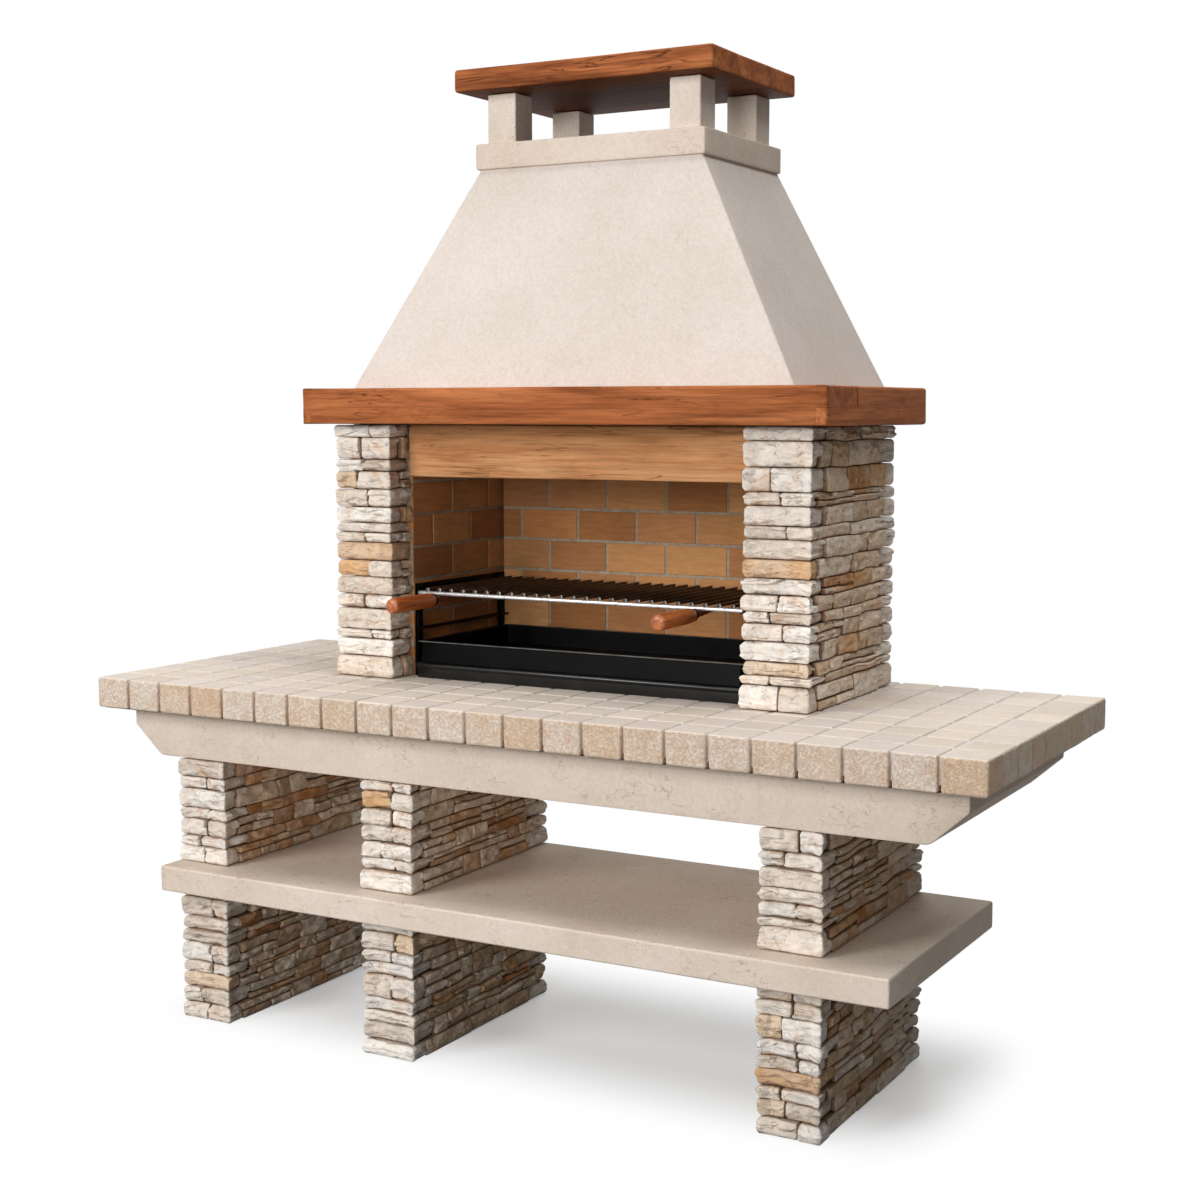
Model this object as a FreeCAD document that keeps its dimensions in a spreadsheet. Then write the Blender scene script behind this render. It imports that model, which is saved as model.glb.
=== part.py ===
# Masonry barbecue: stone-faced piers carry a shelf, a corbelled slab and a worktop of setts.
# Two stone-faced columns, a timber mantel and a tapered hood make the fireplace, in which an
# ember tray and a grill slide forward. X runs along the front, Y to the back, Z up from the floor.
import FreeCAD, Part
import math
import os
import random
import Sketcher
from FreeCAD import Placement, Rotation, Vector

# Driving sizes in millimetres
SIZES = {
    # worktop of square setts on a mortar bed
    "worktop_length": 2300,
    "worktop_depth": 900,
    "sett_pitch": 100,
    "sett_joint": 5,
    "sett_height": 76,
    "sett_taper": 2,
    "bed_thickness": 10,
    "bed_inset": 8,
    # corbelled slab under the worktop
    "slab_length": 2184,
    "slab_depth": 690,
    "slab_setback": 70,
    "slab_thickness": 112,
    "corbel_reach": 83,
    "corbel_height": 74,
    "corbel_round": 18,
    # storage shelf
    "shelf_length": 1914,
    "shelf_depth": 685,
    "shelf_thickness": 65,
    "slab_arris": 4,
    # piers, below and above the shelf
    "pier_width": 160,
    "pier_setback": 54,
    "lower_pier_height": 338,
    "upper_pier_height": 262,
    "left_pier_distance": 871,
    "middle_pier_distance": 312,
    "right_pier_distance": 713,
    # ledgestone facing
    "cladding": 26,
    "stone_relief": 9,
    "stone_arris": 4,
    "stone_joint": 3,
    "course_pitch": 39.5,
    "quoin_depth": 60,
    "quoin_reach": 40,
    "side_stone_length": 150,
    # columns and fire chamber
    "chamber_width": 936,
    "column_width": 182,
    "column_depth": 533,
    "column_height": 632,
    "return_depth": 100,
    "back_wall_thickness": 50,
    "back_wall_lap": 92,
    "lining_thickness": 22,
    "brick_length": 167,
    "brick_height": 74,
    "brick_joint": 8,
    # timber mantel and lintel
    "mantel_overhang": 50,
    "mantel_height": 89,
    "mantel_front_width": 180,
    "mantel_side_width": 200,
    "mantel_rear_width": 90,
    "lap_width": 27,
    "lap_height": 40,
    "beam_arris": 5,
    "lintel_height": 131,
    "lintel_setback": 76,
    "lintel_thickness": 54,
    "lintel_clearance": 1,
    # smoke hood, collar, posts and cap
    "hood_height": 530,
    "hood_side_setback": 107,
    "hood_front_setback": 71,
    "hood_top_length": 604,
    "hood_top_depth": 425,
    "hood_wall": 45,
    "collar_overhang": 9,
    "collar_height": 61,
    "flue_length": 380,
    "flue_depth": 190,
    "post_width": 82,
    "post_height": 121,
    "post_inset": 21,
    "cap_overhang": 37,
    "cap_thickness": 55,
    "cap_arris": 7,
    # steel guide frames beside the fire
    "guide_gap": 2,
    "guide_post_width": 20,
    "guide_post_thickness": 10,
    "rail_leg": 40,
    "rail_upstand": 25,
    "rail_thickness": 4,
    "spare_rail_leg": 24,
    "grill_level": 207,
    "spare_level": 122,
    # ember tray and its stand
    "stand_length": 890,
    "stand_setback": 73,
    "stand_back_gap": 10,
    "stand_height": 38,
    "stand_bar": 25,
    "bead_radius": 7,
    "slide_clearance": 0.5,
    "tray_depth": 53,
    "tray_inset": 5,
    "tray_setback": 8,
    "apron_lean": 8,
    "tray_wall": 3,
    "tray_rim": 8,
    # grill
    "frame_radius": 5,
    "frame_bend": 25,
    "grill_side_gap": 20,
    "grill_setback": 85,
    "grill_back_gap": 33,
    "rod_radius": 4,
    "rod_pitch": 35,
    "rod_overhang": 6,
    # grill handles
    "left_handle_offset": 390,
    "right_handle_offset": 328,
    "neck_width": 18,
    "neck_tip_width": 8,
    "neck_lead": 17,
    "neck_length": 140,
    "ferrule_radius": 15,
    "ferrule_length": 10,
    "grip_radius": 19,
    "grip_length": 172,
    "grip_round": 8,
}

# Places that follow from the sizes: distances from the middle, the floor and the row's axes
PLACES = {
    "worktop_half": "Sizes.worktop_length / 2",
    "front_face": "-Sizes.worktop_depth / 2",
    "back_face": "Sizes.worktop_depth / 2",
    "bed_half": "worktop_half - Sizes.bed_inset",
    "bed_front": "front_face + Sizes.bed_inset",
    "bed_back": "back_face - Sizes.bed_inset",
    # levels
    "floor": "0",
    "shelf_bottom": "floor + Sizes.lower_pier_height",
    "shelf_top": "shelf_bottom + Sizes.shelf_thickness",
    "slab_bottom": "shelf_top + Sizes.upper_pier_height",
    "corbel_top": "slab_bottom + Sizes.corbel_height",
    "slab_top": "slab_bottom + Sizes.slab_thickness",
    "sett_bottom": "slab_top + Sizes.bed_thickness",
    "worktop_top": "sett_bottom + Sizes.sett_height",
    "mantel_bottom": "worktop_top + Sizes.column_height",
    "mantel_top": "mantel_bottom + Sizes.mantel_height",
    "hood_top": "mantel_top + Sizes.hood_height",
    "collar_top": "hood_top + Sizes.collar_height",
    "cap_bottom": "collar_top + Sizes.post_height",
    # shelf, slab and piers
    "shelf_half": "Sizes.shelf_length / 2",
    "shelf_back": "front_face + Sizes.shelf_depth",
    "slab_half": "Sizes.slab_length / 2",
    "slab_foot_half": "slab_half - Sizes.corbel_reach",
    "slab_front": "front_face + Sizes.slab_setback",
    "slab_back": "slab_front + Sizes.slab_depth",
    "pier_front": "front_face + Sizes.pier_setback",
    "pier_core_width": "Sizes.pier_width - 2 * Sizes.cladding",
    "pier_core_front": "pier_front + Sizes.quoin_depth",
    "pier_core_depth": "shelf_back - pier_front - 2 * Sizes.quoin_depth",
    "left_pier_west": "-Sizes.left_pier_distance - Sizes.pier_width / 2",
    "middle_pier_west": "-Sizes.middle_pier_distance - Sizes.pier_width / 2",
    "right_pier_west": "Sizes.right_pier_distance - Sizes.pier_width / 2",
    # columns and lining
    "chamber_half": "Sizes.chamber_width / 2",
    "column_outer": "chamber_half + Sizes.column_width",
    "column_back": "back_face - Sizes.back_wall_thickness",
    "column_front": "column_back - Sizes.column_depth",
    "column_core_inner": "chamber_half + Sizes.cladding",
    "column_core_outer": "column_outer - Sizes.cladding",
    "column_core_width": "column_core_outer - column_core_inner",
    "column_core_front": "column_front + Sizes.quoin_depth",
    "column_core_depth": "Sizes.column_depth - 2 * Sizes.quoin_depth",
    "return_end": "column_front + Sizes.return_depth",
    "lining_face": "column_core_inner - Sizes.lining_thickness",
    "lining_back": "column_back - Sizes.lining_thickness",
    "back_wall_half": "chamber_half + Sizes.back_wall_lap",
    # mantel and lintel
    "mantel_half": "column_outer + Sizes.mantel_overhang",
    "mantel_front": "column_front - Sizes.mantel_overhang",
    "front_beam_back": "mantel_front + Sizes.mantel_front_width",
    "side_beam_inner": "mantel_half - Sizes.mantel_side_width",
    "rear_beam_front": "back_face - Sizes.mantel_rear_width",
    "lap_inner": "mantel_half - Sizes.lap_width",
    "lap_top": "mantel_bottom + Sizes.lap_height",
    "lintel_bottom": "mantel_bottom - Sizes.lintel_height",
    "lintel_front": "column_front + Sizes.lintel_setback",
    "lintel_back": "lintel_front + Sizes.lintel_thickness",
    "lintel_half": "chamber_half - Sizes.lintel_clearance",
    # hood and chimney
    "hood_base_half": "mantel_half - Sizes.hood_side_setback",
    "hood_base_front": "mantel_front + Sizes.hood_front_setback",
    "hood_top_half": "Sizes.hood_top_length / 2",
    "hood_top_front": "back_face - Sizes.hood_top_depth",
    "throat_back": "back_face - Sizes.hood_wall",
    "throat_base_half": "hood_base_half - Sizes.hood_wall",
    "throat_base_front": "hood_base_front + Sizes.hood_wall",
    "throat_top_half": "hood_top_half - Sizes.hood_wall",
    "throat_top_front": "hood_top_front + Sizes.hood_wall",
    "collar_half": "hood_top_half + Sizes.collar_overhang",
    "collar_front": "hood_top_front - Sizes.collar_overhang",
    "flue_half": "Sizes.flue_length / 2",
    "flue_front": "(collar_front + back_face - Sizes.flue_depth) / 2",
    "flue_back": "flue_front + Sizes.flue_depth",
    "post_outer": "collar_half - Sizes.post_inset",
    "post_inner": "post_outer - Sizes.post_width",
    "front_post_front": "collar_front + Sizes.post_inset",
    "front_post_back": "front_post_front + Sizes.post_width",
    "rear_post_back": "back_face - Sizes.post_inset",
    "rear_post_front": "rear_post_back - Sizes.post_width",
    "cap_half": "collar_half + Sizes.cap_overhang",
    "cap_front": "collar_front - Sizes.cap_overhang",
    # guide frames
    "guide_outer": "lining_face - Sizes.guide_gap",
    "guide_post_inner": "guide_outer - Sizes.guide_post_thickness",
    "rail_inner": "guide_outer - Sizes.rail_leg",
    "spare_rail_inner": "guide_outer - Sizes.spare_rail_leg",
    "upstand_inner": "guide_outer - Sizes.rail_thickness",
    "guide_front": "return_end + Sizes.guide_gap",
    "guide_back": "lining_back - Sizes.guide_gap",
    "guide_length": "guide_back - guide_front",
    "rear_guide_post_front": "guide_back - Sizes.guide_post_width",
    "rail_top": "worktop_top + Sizes.grill_level",
    "rail_bottom": "rail_top - Sizes.rail_thickness",
    "spare_rail_bottom": "worktop_top + Sizes.spare_level - Sizes.rail_thickness",
    "guide_height": "Sizes.grill_level + Sizes.rail_upstand",
    # ember tray and stand
    "stand_half": "Sizes.stand_length / 2",
    "stand_front": "column_front + Sizes.stand_setback",
    "stand_back": "lining_back - Sizes.stand_back_gap",
    "stand_inner_half": "stand_half - Sizes.stand_bar",
    "stand_inner_front": "stand_front + Sizes.stand_bar",
    "stand_inner_back": "stand_back - Sizes.stand_bar",
    "stand_top": "worktop_top + Sizes.stand_height",
    "bead_level": "stand_top - Sizes.bead_radius",
    "tray_bottom": "stand_top + Sizes.slide_clearance",
    "tray_top": "tray_bottom + Sizes.tray_depth",
    "tray_floor": "tray_bottom + Sizes.tray_wall",
    "tray_mouth": "tray_top + Sizes.tray_wall",
    "tray_half": "stand_half - Sizes.tray_inset",
    "tray_width": "2 * tray_half",
    "tray_front": "stand_front + Sizes.tray_setback",
    "tray_lip": "tray_front + Sizes.apron_lean",
    "tray_back": "stand_back - Sizes.tray_rim",
    "apron_slope": "Sizes.apron_lean / Sizes.tray_depth",
    "apron_gap": "Sizes.tray_wall * sqrt(1 + apron_slope * apron_slope)",
    "hollow_half": "tray_half - Sizes.tray_wall",
    "hollow_width": "2 * hollow_half",
    "hollow_front": "tray_front + apron_gap + Sizes.tray_wall * apron_slope",
    "hollow_lip": "tray_lip + apron_gap + Sizes.tray_wall * apron_slope",
    "hollow_back": "tray_back - Sizes.tray_wall",
    "rim_half": "tray_half + Sizes.tray_rim",
    "rim_front": "tray_lip - Sizes.tray_rim",
    "rim_back": "tray_back + Sizes.tray_rim",
    "rim_level": "tray_top - Sizes.tray_wall",
    # grill and handles
    "frame_level": "rail_top + Sizes.slide_clearance + Sizes.frame_radius",
    "frame_half": "upstand_inner - Sizes.grill_side_gap - Sizes.frame_radius",
    "front_bar_half": "frame_half + Sizes.frame_radius",
    "frame_inner": "frame_half - Sizes.frame_radius",
    "frame_bottom": "frame_level - Sizes.frame_radius",
    "frame_thickness": "2 * Sizes.frame_radius",
    "grill_front": "column_front + Sizes.grill_setback",
    "grill_back": "lining_back - Sizes.grill_back_gap",
    "frame_front": "grill_front + Sizes.frame_radius",
    "frame_rear_outer": "grill_back + Sizes.frame_radius",
    "frame_rear_inner": "grill_back - Sizes.frame_radius",
    "rod_level": "frame_level + Sizes.frame_radius + Sizes.rod_radius",
    "neck_half": "Sizes.neck_width / 2",
    "neck_tip_half": "Sizes.neck_tip_width / 2",
    "neck_tip_bottom": "neck_half - Sizes.neck_tip_width",
    "handle_level": "frame_bottom - neck_half",
    "neck_front": "grill_front - Sizes.neck_lead",
    "ferrule_front": "neck_front - Sizes.ferrule_length",
}

LAYOUT_SEED = 47
# Uneven stones take between these shares of the mean length
SHORTEST_SHARE = 0.7
LONGEST_SHARE = 1.35
# Flat sides of the rods and of the turned handles
ROD_SIDES = 8
HANDLE_SIDES = 24
# A hollowed piece keeps less than this share of its block
HOLLOW_SHARE = 0.6
# Edges this near to a level lie on it
NEAR = 1.0

doc = FreeCAD.newDocument("MasonryBarbecue")
sub_parts = []


# One sheet with the driving numbers, one with the places worked out from them
def fill_sheet(name, cells, prefix):
    sheet = doc.addObject("Spreadsheet::Sheet", name)
    for row, (alias, content) in enumerate(cells.items(), start=1):
        sheet.set(f"A{row}", alias)
        sheet.set(f"B{row}", f"{prefix}{content}")
        sheet.setAlias(f"B{row}", alias)
    doc.recompute()


fill_sheet("Sizes", SIZES, "")
fill_sheet("Places", PLACES, "=")


# Number in a named cell; a leading minus mirrors it to the left-hand side
def value(cell):
    sign = -1.0 if cell.startswith("-") else 1.0
    sheet, alias = cell.lstrip("-").split(".")
    return sign * float(doc.getObject(sheet).get(alias))


def keep(piece):
    sub_parts.append(piece)
    return piece


# West and east cells of a span that lies beside the middle on one side
def span(side, inner, outer):
    if side == "left":
        return f"-{outer}", f"-{inner}"
    return inner, outer


# Plain block given by its lowest corner and its three lengths
def box(name, corner, lengths):
    block = doc.addObject("Part::Box", name)
    for side, cell in zip(("Length", "Width", "Height"), lengths):
        block.setExpression(side, cell)
    for axis, cell in zip("xyz", corner):
        block.setExpression(f"Placement.Base.{axis}", cell)
    return block


def new_body(name):
    return doc.addObject("PartDesign::Body", name)


def origin_plane(body, role):
    return next(item for item in body.Origin.OriginFeatures if item.Role == role)


def sketch_on(body, name, role, offset=None):
    sketch = body.newObject("Sketcher::SketchObject", f"{body.Name}_{name}")
    sketch.AttachmentSupport = [(origin_plane(body, role), "")]
    sketch.MapMode = "FlatFace"
    if offset:
        sketch.setExpression("AttachmentOffset.Base.z", offset)
    return sketch


# Closed outline whose corners are tied to cells; None puts a corner on that axis
def outline(sketch, corners):
    points = [Vector(*(value(cell) if cell else 0.0 for cell in corner), 0) for corner in corners]
    first = sketch.GeometryCount
    count = len(points)
    for index, point in enumerate(points):
        sketch.addGeometry(Part.LineSegment(point, points[(index + 1) % count]))
    for index, corner in enumerate(corners):
        edge = first + index
        following = first + (index + 1) % count
        sketch.addConstraint(Sketcher.Constraint("Coincident", edge, 2, following, 1))
        for kind, axis, cell in zip(("DistanceX", "DistanceY"), (-2, -1), corner):
            if cell is None:
                sketch.addConstraint(Sketcher.Constraint("PointOnObject", edge, 1, axis))
                continue
            tie = Sketcher.Constraint(kind, -1, 1, edge, 1, value(cell))
            sketch.setExpression(f"Constraints[{sketch.addConstraint(tie)}]", cell)


def rectangle(west, east, low, high):
    return [(west, low), (east, low), (east, high), (west, high)]


def pad(body, sketch, length):
    feature = body.newObject("PartDesign::Pad", f"{sketch.Name}_pad")
    feature.Profile = sketch
    feature.setExpression("Length", length)
    doc.recompute()
    return feature


def ease_edges(body, feature, size):
    chamfer = body.newObject("PartDesign::Chamfer", f"{body.Name}_arris")
    chamfer.Base = (feature, [f"Edge{number + 1}" for number in range(len(feature.Shape.Edges))])
    chamfer.setExpression("Size", size)


# Rectangular cast or timber piece with eased edges
def eased_block(name, plan, bottom, height, arris):
    body = new_body(name)
    sketch = sketch_on(body, "plan", "XY_Plane", bottom)
    outline(sketch, rectangle(*plan))
    ease_edges(body, pad(body, sketch, height), arris)
    return keep(body)


def solids_part(name, solids):
    piece = doc.addObject("Part::Feature", name)
    piece.Shape = Part.makeCompound(solids)
    return keep(piece)


# Uneven lengths that fill a run, each about as long as the mean
def uneven_cuts(draw, run, mean):
    count = max(1, round(run / mean))
    shares = [draw.uniform(SHORTEST_SHARE, LONGEST_SHARE) for _ in range(count)]
    cuts = [0.0]
    for share in shares:
        cuts.append(cuts[-1] + run * share / sum(shares))
    return cuts


# One split stone: its back lies on the core, and its face is set in by the arris all round
def ledgestone(west, east, low, high, proud):
    arris = value("Sizes.stone_arris")
    return Part.makeWedge(west, 0, low, low + arris, west + arris,
                          east, proud, high, high - arris, east - arris)


# Stones of one course along a side of the core, from its south end to its north end
def side_stones(draw, core_face, looks_east, south, north, low, high):
    gap = value("Sizes.stone_joint")
    cuts = uneven_cuts(draw, north - south, value("Sizes.side_stone_length"))
    # along the wall is the stones' own X, and out of it their own Y
    place = Placement(Vector(core_face, north if looks_east else south, 0),
                      Rotation(Vector(0, 0, 1), -90 if looks_east else 90))
    stones = []
    for start, end in zip(cuts, cuts[1:]):
        proud = value("Sizes.cladding") - draw.uniform(0, value("Sizes.stone_relief"))
        stone = ledgestone(start, end - (gap if end < cuts[-1] else 0), low, high, proud)
        stone.Placement = place
        stones.append(stone)
    return stones


# Corner block across a whole end; a long one has two legs beside the core
def corner_block(draw, west, east, south, north, low, high, core):
    relief = value("Sizes.stone_relief")
    west += draw.uniform(0, relief) if west < core["west"] else 0
    east -= draw.uniform(0, relief) if east > core["east"] else 0
    south += draw.uniform(0, relief) if south < core["south"] else 0
    north -= draw.uniform(0, relief) if north > core["north"] else 0
    block = Part.makeBox(east - west, north - south, high - low, Vector(west, south, low))
    if north > core["south"] and south < core["north"]:
        inside = Part.makeBox(core["east"] - core["west"], core["north"] - core["south"], high - low,
                              Vector(core["west"], core["south"], low))
        block = block.cut(inside)
    return block.Solids


# Facing in courses of uneven height; the corner blocks reach back far and near by turns
def ledgestone_facing(name, core, face, bottom, height, seed):
    draw = random.Random(seed)
    gap = value("Sizes.stone_joint")
    reaches = (value("Sizes.quoin_depth"), value("Sizes.quoin_depth") + value("Sizes.quoin_reach"))
    levels = uneven_cuts(draw, height, value("Sizes.course_pitch"))
    stones = []
    for course, (lower, upper) in enumerate(zip(levels, levels[1:])):
        low = bottom + lower + gap / 2
        high = bottom + upper - gap / 2
        front_end = face["south"] + reaches[course % 2]
        rear_end = face["north"] - reaches[1 - course % 2]
        stones += corner_block(draw, face["west"], face["east"], face["south"], front_end, low, high, core)
        stones += corner_block(draw, face["rear_west"], face["rear_east"], rear_end, face["north"],
                               low, high, core)
        for side, looks_east in (("west", False), ("east", True)):
            # a side that stops short of the rear block meets the firebricks instead
            stop = min(rear_end - gap, face[f"{side}_stop"])
            if stop - front_end > value("Sizes.quoin_reach") / 2:
                stones += side_stones(draw, core[side], looks_east, front_end + gap, stop, low, high)
    return solids_part(name, stones)


def limits_of(west, east, south, north):
    return {"west": west, "east": east, "south": south, "north": north}


# Three piers, each in a lower and an upper length
TIERS = (("lower", "Places.floor", "Sizes.lower_pier_height"),
         ("upper", "Places.shelf_top", "Sizes.upper_pier_height"))
for pier_number, pier in enumerate(("left", "middle", "right")):
    pier_west = f"Places.{pier}_pier_west"
    for tier_number, (tier, tier_bottom, tier_height) in enumerate(TIERS):
        core = box(f"{pier}_pier_{tier}_core",
                   (f"{pier_west} + Sizes.cladding", "Places.pier_core_front", tier_bottom),
                   ("Places.pier_core_width", "Places.pier_core_depth", tier_height))
        keep(core)
        west = value(pier_west)
        east = west + value("Sizes.pier_width")
        south = value("Places.pier_front")
        north = value("Places.shelf_back")
        inset = value("Sizes.cladding")
        core_limits = limits_of(west + inset, east - inset, value("Places.pier_core_front"),
                                value("Places.pier_core_front") + value("Places.pier_core_depth"))
        face = limits_of(west, east, south, north)
        face.update(rear_west=west, rear_east=east, west_stop=north, east_stop=north)
        ledgestone_facing(f"{pier}_pier_{tier}_stones", core_limits, face, value(tier_bottom),
                          value(tier_height), LAYOUT_SEED + len(TIERS) * pier_number + tier_number)

# Shelf that passes between the two lengths of the piers
eased_block("storage_shelf",
            ("-Places.shelf_half", "Places.shelf_half", "Places.front_face", "Places.shelf_back"),
            "Places.shelf_bottom", "Sizes.shelf_thickness", "Sizes.slab_arris")

# Support slab with slanted, rounded ends
slab = keep(new_body("support_slab"))
slab_profile = sketch_on(slab, "profile", "XZ_Plane", "-Places.slab_back")
outline(slab_profile, [("-Places.slab_foot_half", "Places.slab_bottom"),
                       ("Places.slab_foot_half", "Places.slab_bottom"),
                       ("Places.slab_half", "Places.corbel_top"), ("Places.slab_half", "Places.slab_top"),
                       ("-Places.slab_half", "Places.slab_top"), ("-Places.slab_half", "Places.corbel_top")])
slab_pad = pad(slab, slab_profile, "Sizes.slab_depth")
corbel_levels = (value("Places.slab_bottom"), value("Places.corbel_top"))
corbel_edges = []
for number, edge in enumerate(slab_pad.Shape.Edges, start=1):
    runs_back = edge.BoundBox.YLength > value("Sizes.slab_depth") / 2
    if runs_back and any(abs(edge.BoundBox.ZMin - level) < NEAR for level in corbel_levels):
        corbel_edges.append(f"Edge{number}")
slab_round = slab.newObject("PartDesign::Fillet", "support_slab_round")
slab_round.Base = (slab_pad, corbel_edges)
slab_round.setExpression("Radius", "Sizes.corbel_round")

# Worktop: mortar bed, then setts in a stack-bond grid
keep(box("worktop_bed", ("-Places.bed_half", "Places.bed_front", "Places.slab_top"),
         ("2 * Places.bed_half", "Places.bed_back - Places.bed_front", "Sizes.bed_thickness")))


# Limits of the setts along one side of the worktop, flush with both of its ends
def sett_spans(start, length):
    count = max(3, round(length / value("Sizes.sett_pitch")))
    gap = value("Sizes.sett_joint")
    cuts = [start + length * number / count for number in range(count + 1)]
    lows = [cuts[0]] + [cut + gap / 2 for cut in cuts[1:-1]]
    highs = [cut - gap / 2 for cut in cuts[1:-1]] + [cuts[-1]]
    return list(zip(lows, highs))


def worktop_setts():
    columns = sett_spans(-value("Places.worktop_half"), value("Sizes.worktop_length"))
    rows = sett_spans(value("Places.front_face"), value("Sizes.worktop_depth"))
    taper = value("Sizes.sett_taper")
    low = value("Places.sett_bottom")
    high = value("Places.worktop_top")
    edge_setts = []
    field_setts = []
    for west, east in columns:
        for south, north in rows:
            # the wedge grows along its own Y, so it is turned to stand up and its Z points to the front
            sett = Part.makeWedge(west, low, -north, taper - north, west + taper,
                                  east, high, -south, -south - taper, east - taper)
            sett.Placement = Placement(Vector(0, 0, 0), Rotation(Vector(1, 0, 0), 90))
            at_edge = (west, east) in (columns[0], columns[-1]) or (south, north) in (rows[0], rows[-1])
            (edge_setts if at_edge else field_setts).append(sett)
    return edge_setts, field_setts


edge_setts, field_setts = worktop_setts()
solids_part("worktop_edge_setts", edge_setts)
solids_part("worktop_field_setts", field_setts)

# Columns: the inner face is stone only on the return beside the mouth of the fire
for number, side in enumerate(("left", "right")):
    core_west, core_east = span(side, "Places.column_core_inner", "Places.column_core_outer")
    keep(box(f"{side}_column_core", (core_west, "Places.column_core_front", "Places.worktop_top"),
             ("Places.column_core_width", "Places.column_core_depth", "Sizes.column_height")))
    core_limits = limits_of(value(core_west), value(core_east), value("Places.column_core_front"),
                            value("Places.column_core_front") + value("Places.column_core_depth"))
    west, east = (value(cell) for cell in span(side, "Places.chamber_half", "Places.column_outer"))
    face = limits_of(west, east, value("Places.column_front"), value("Places.column_back"))
    inner = "east" if side == "left" else "west"
    face.update(rear_west=west, rear_east=east, west_stop=face["north"], east_stop=face["north"])
    face[f"rear_{inner}"] = core_limits[inner]
    face[f"{inner}_stop"] = value("Places.return_end")
    ledgestone_facing(f"{side}_column_stones", core_limits, face, value("Places.worktop_top"),
                      value("Sizes.column_height"), LAYOUT_SEED - 1 - number)

# Rear wall of the fire chamber, against the backs of the columns
keep(box("fire_back_wall", ("-Places.back_wall_half", "Places.column_back", "Places.worktop_top"),
         ("2 * Places.back_wall_half", "Sizes.back_wall_thickness", "Sizes.column_height")))


# Running bond of firebricks on a wall that starts at a corner and runs along its own X
def brick_lining(name, start, turn, run):
    gap = value("Sizes.brick_joint")
    long_step = value("Sizes.brick_length") + gap
    course_step = value("Sizes.brick_height") + gap
    top = value("Places.mantel_bottom")
    thickness = value("Sizes.lining_thickness")
    bricks = []
    low = value("Places.worktop_top")
    course = 0
    while low < top - gap:
        high = min(low + course_step - gap, top)
        west = 0.0
        east = long_step if course % 2 == 0 else long_step / 2
        while west < run - gap:
            # a last piece shorter than a quarter brick joins its neighbour
            if run - east < long_step / 4:
                east = run + gap
            brick = Part.makeBox(east - gap - west, thickness, high - low, Vector(west, 0, low))
            brick.Placement = Placement(start, Rotation(Vector(0, 0, 1), turn)).multiply(brick.Placement)
            bricks.append(brick)
            west = east
            east += long_step
        low += course_step
        course += 1
    return solids_part(name, bricks)


lining_outer = value("Places.column_core_inner")
lining_front = value("Places.return_end")
lining_rear = value("Places.column_back")
back_half = value("Places.lining_face") - value("Sizes.brick_joint")
brick_lining("back_firebricks", Vector(back_half, lining_rear, 0), 180, 2 * back_half)
brick_lining("left_firebricks", Vector(-lining_outer, lining_rear, 0), -90, lining_rear - lining_front)
brick_lining("right_firebricks", Vector(lining_outer, lining_front, 0), 90, lining_rear - lining_front)

# Mantel: the side beams' tongues lap under the ends of the front beam
front_beam = keep(new_body("mantel_front_beam"))
front_profile = sketch_on(front_beam, "profile", "XZ_Plane", "-Places.front_beam_back")
outline(front_profile, [("-Places.lap_inner", "Places.mantel_bottom"),
                        ("Places.lap_inner", "Places.mantel_bottom"),
                        ("Places.lap_inner", "Places.lap_top"), ("Places.mantel_half", "Places.lap_top"),
                        ("Places.mantel_half", "Places.mantel_top"),
                        ("-Places.mantel_half", "Places.mantel_top"),
                        ("-Places.mantel_half", "Places.lap_top"), ("-Places.lap_inner", "Places.lap_top")])
pad(front_beam, front_profile, "Sizes.mantel_front_width")

for side in ("left", "right"):
    side_beam = keep(new_body(f"mantel_{side}_beam"))
    plan = sketch_on(side_beam, "plan", "XY_Plane", "Places.mantel_bottom")
    beam_span = span(side, "Places.side_beam_inner", "Places.mantel_half")
    outline(plan, rectangle(*beam_span, "Places.front_beam_back", "Places.back_face"))
    pad(side_beam, plan, "Sizes.mantel_height")
    tongue = sketch_on(side_beam, "tongue", "XY_Plane", "Places.mantel_bottom")
    tongue_span = span(side, "Places.lap_inner", "Places.mantel_half")
    outline(tongue, rectangle(*tongue_span, "Places.mantel_front", "Places.front_beam_back"))
    pad(side_beam, tongue, "Sizes.lap_height")

eased_block("mantel_rear_beam", ("-Places.side_beam_inner", "Places.side_beam_inner",
                                 "Places.rear_beam_front", "Places.back_face"),
            "Places.mantel_bottom", "Sizes.mantel_height", "Sizes.beam_arris")
eased_block("fire_lintel",
            ("-Places.lintel_half", "Places.lintel_half", "Places.lintel_front", "Places.lintel_back"),
            "Places.lintel_bottom", "Sizes.lintel_height", "Sizes.beam_arris")

# Hood: a tapered casting with an upright back, hollow from the mantel to the collar
hood = keep(new_body("smoke_hood"))


# Tapered block that grows along its own Y, its limits tied to cells
def wedge(body, kind, name, limits, role=None):
    feature = body.newObject(kind, name)
    if role:
        feature.AttachmentSupport = [(origin_plane(body, role), "")]
        feature.MapMode = "FlatFace"
    for limit, cell in limits.items():
        setattr(feature, limit, value(cell))
        feature.setExpression(limit, cell)
    doc.recompute()
    return feature


# The hood's wedges stand on the mantel: on their plane Y is up and Z points to the front
def hood_wedge(kind, name, part, back):
    limits = {"Xmin": f"-Places.{part}_base_half", "Xmax": f"Places.{part}_base_half",
              "Zmin": f"-{back}", "Zmax": f"-Places.{part}_base_front",
              "X2min": f"-Places.{part}_top_half", "X2max": f"Places.{part}_top_half",
              "Z2min": f"-{back}", "Z2max": f"-Places.{part}_top_front",
              "Ymin": "Places.mantel_top", "Ymax": "Places.hood_top"}
    return wedge(hood, kind, name, limits, "XZ_Plane")


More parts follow.
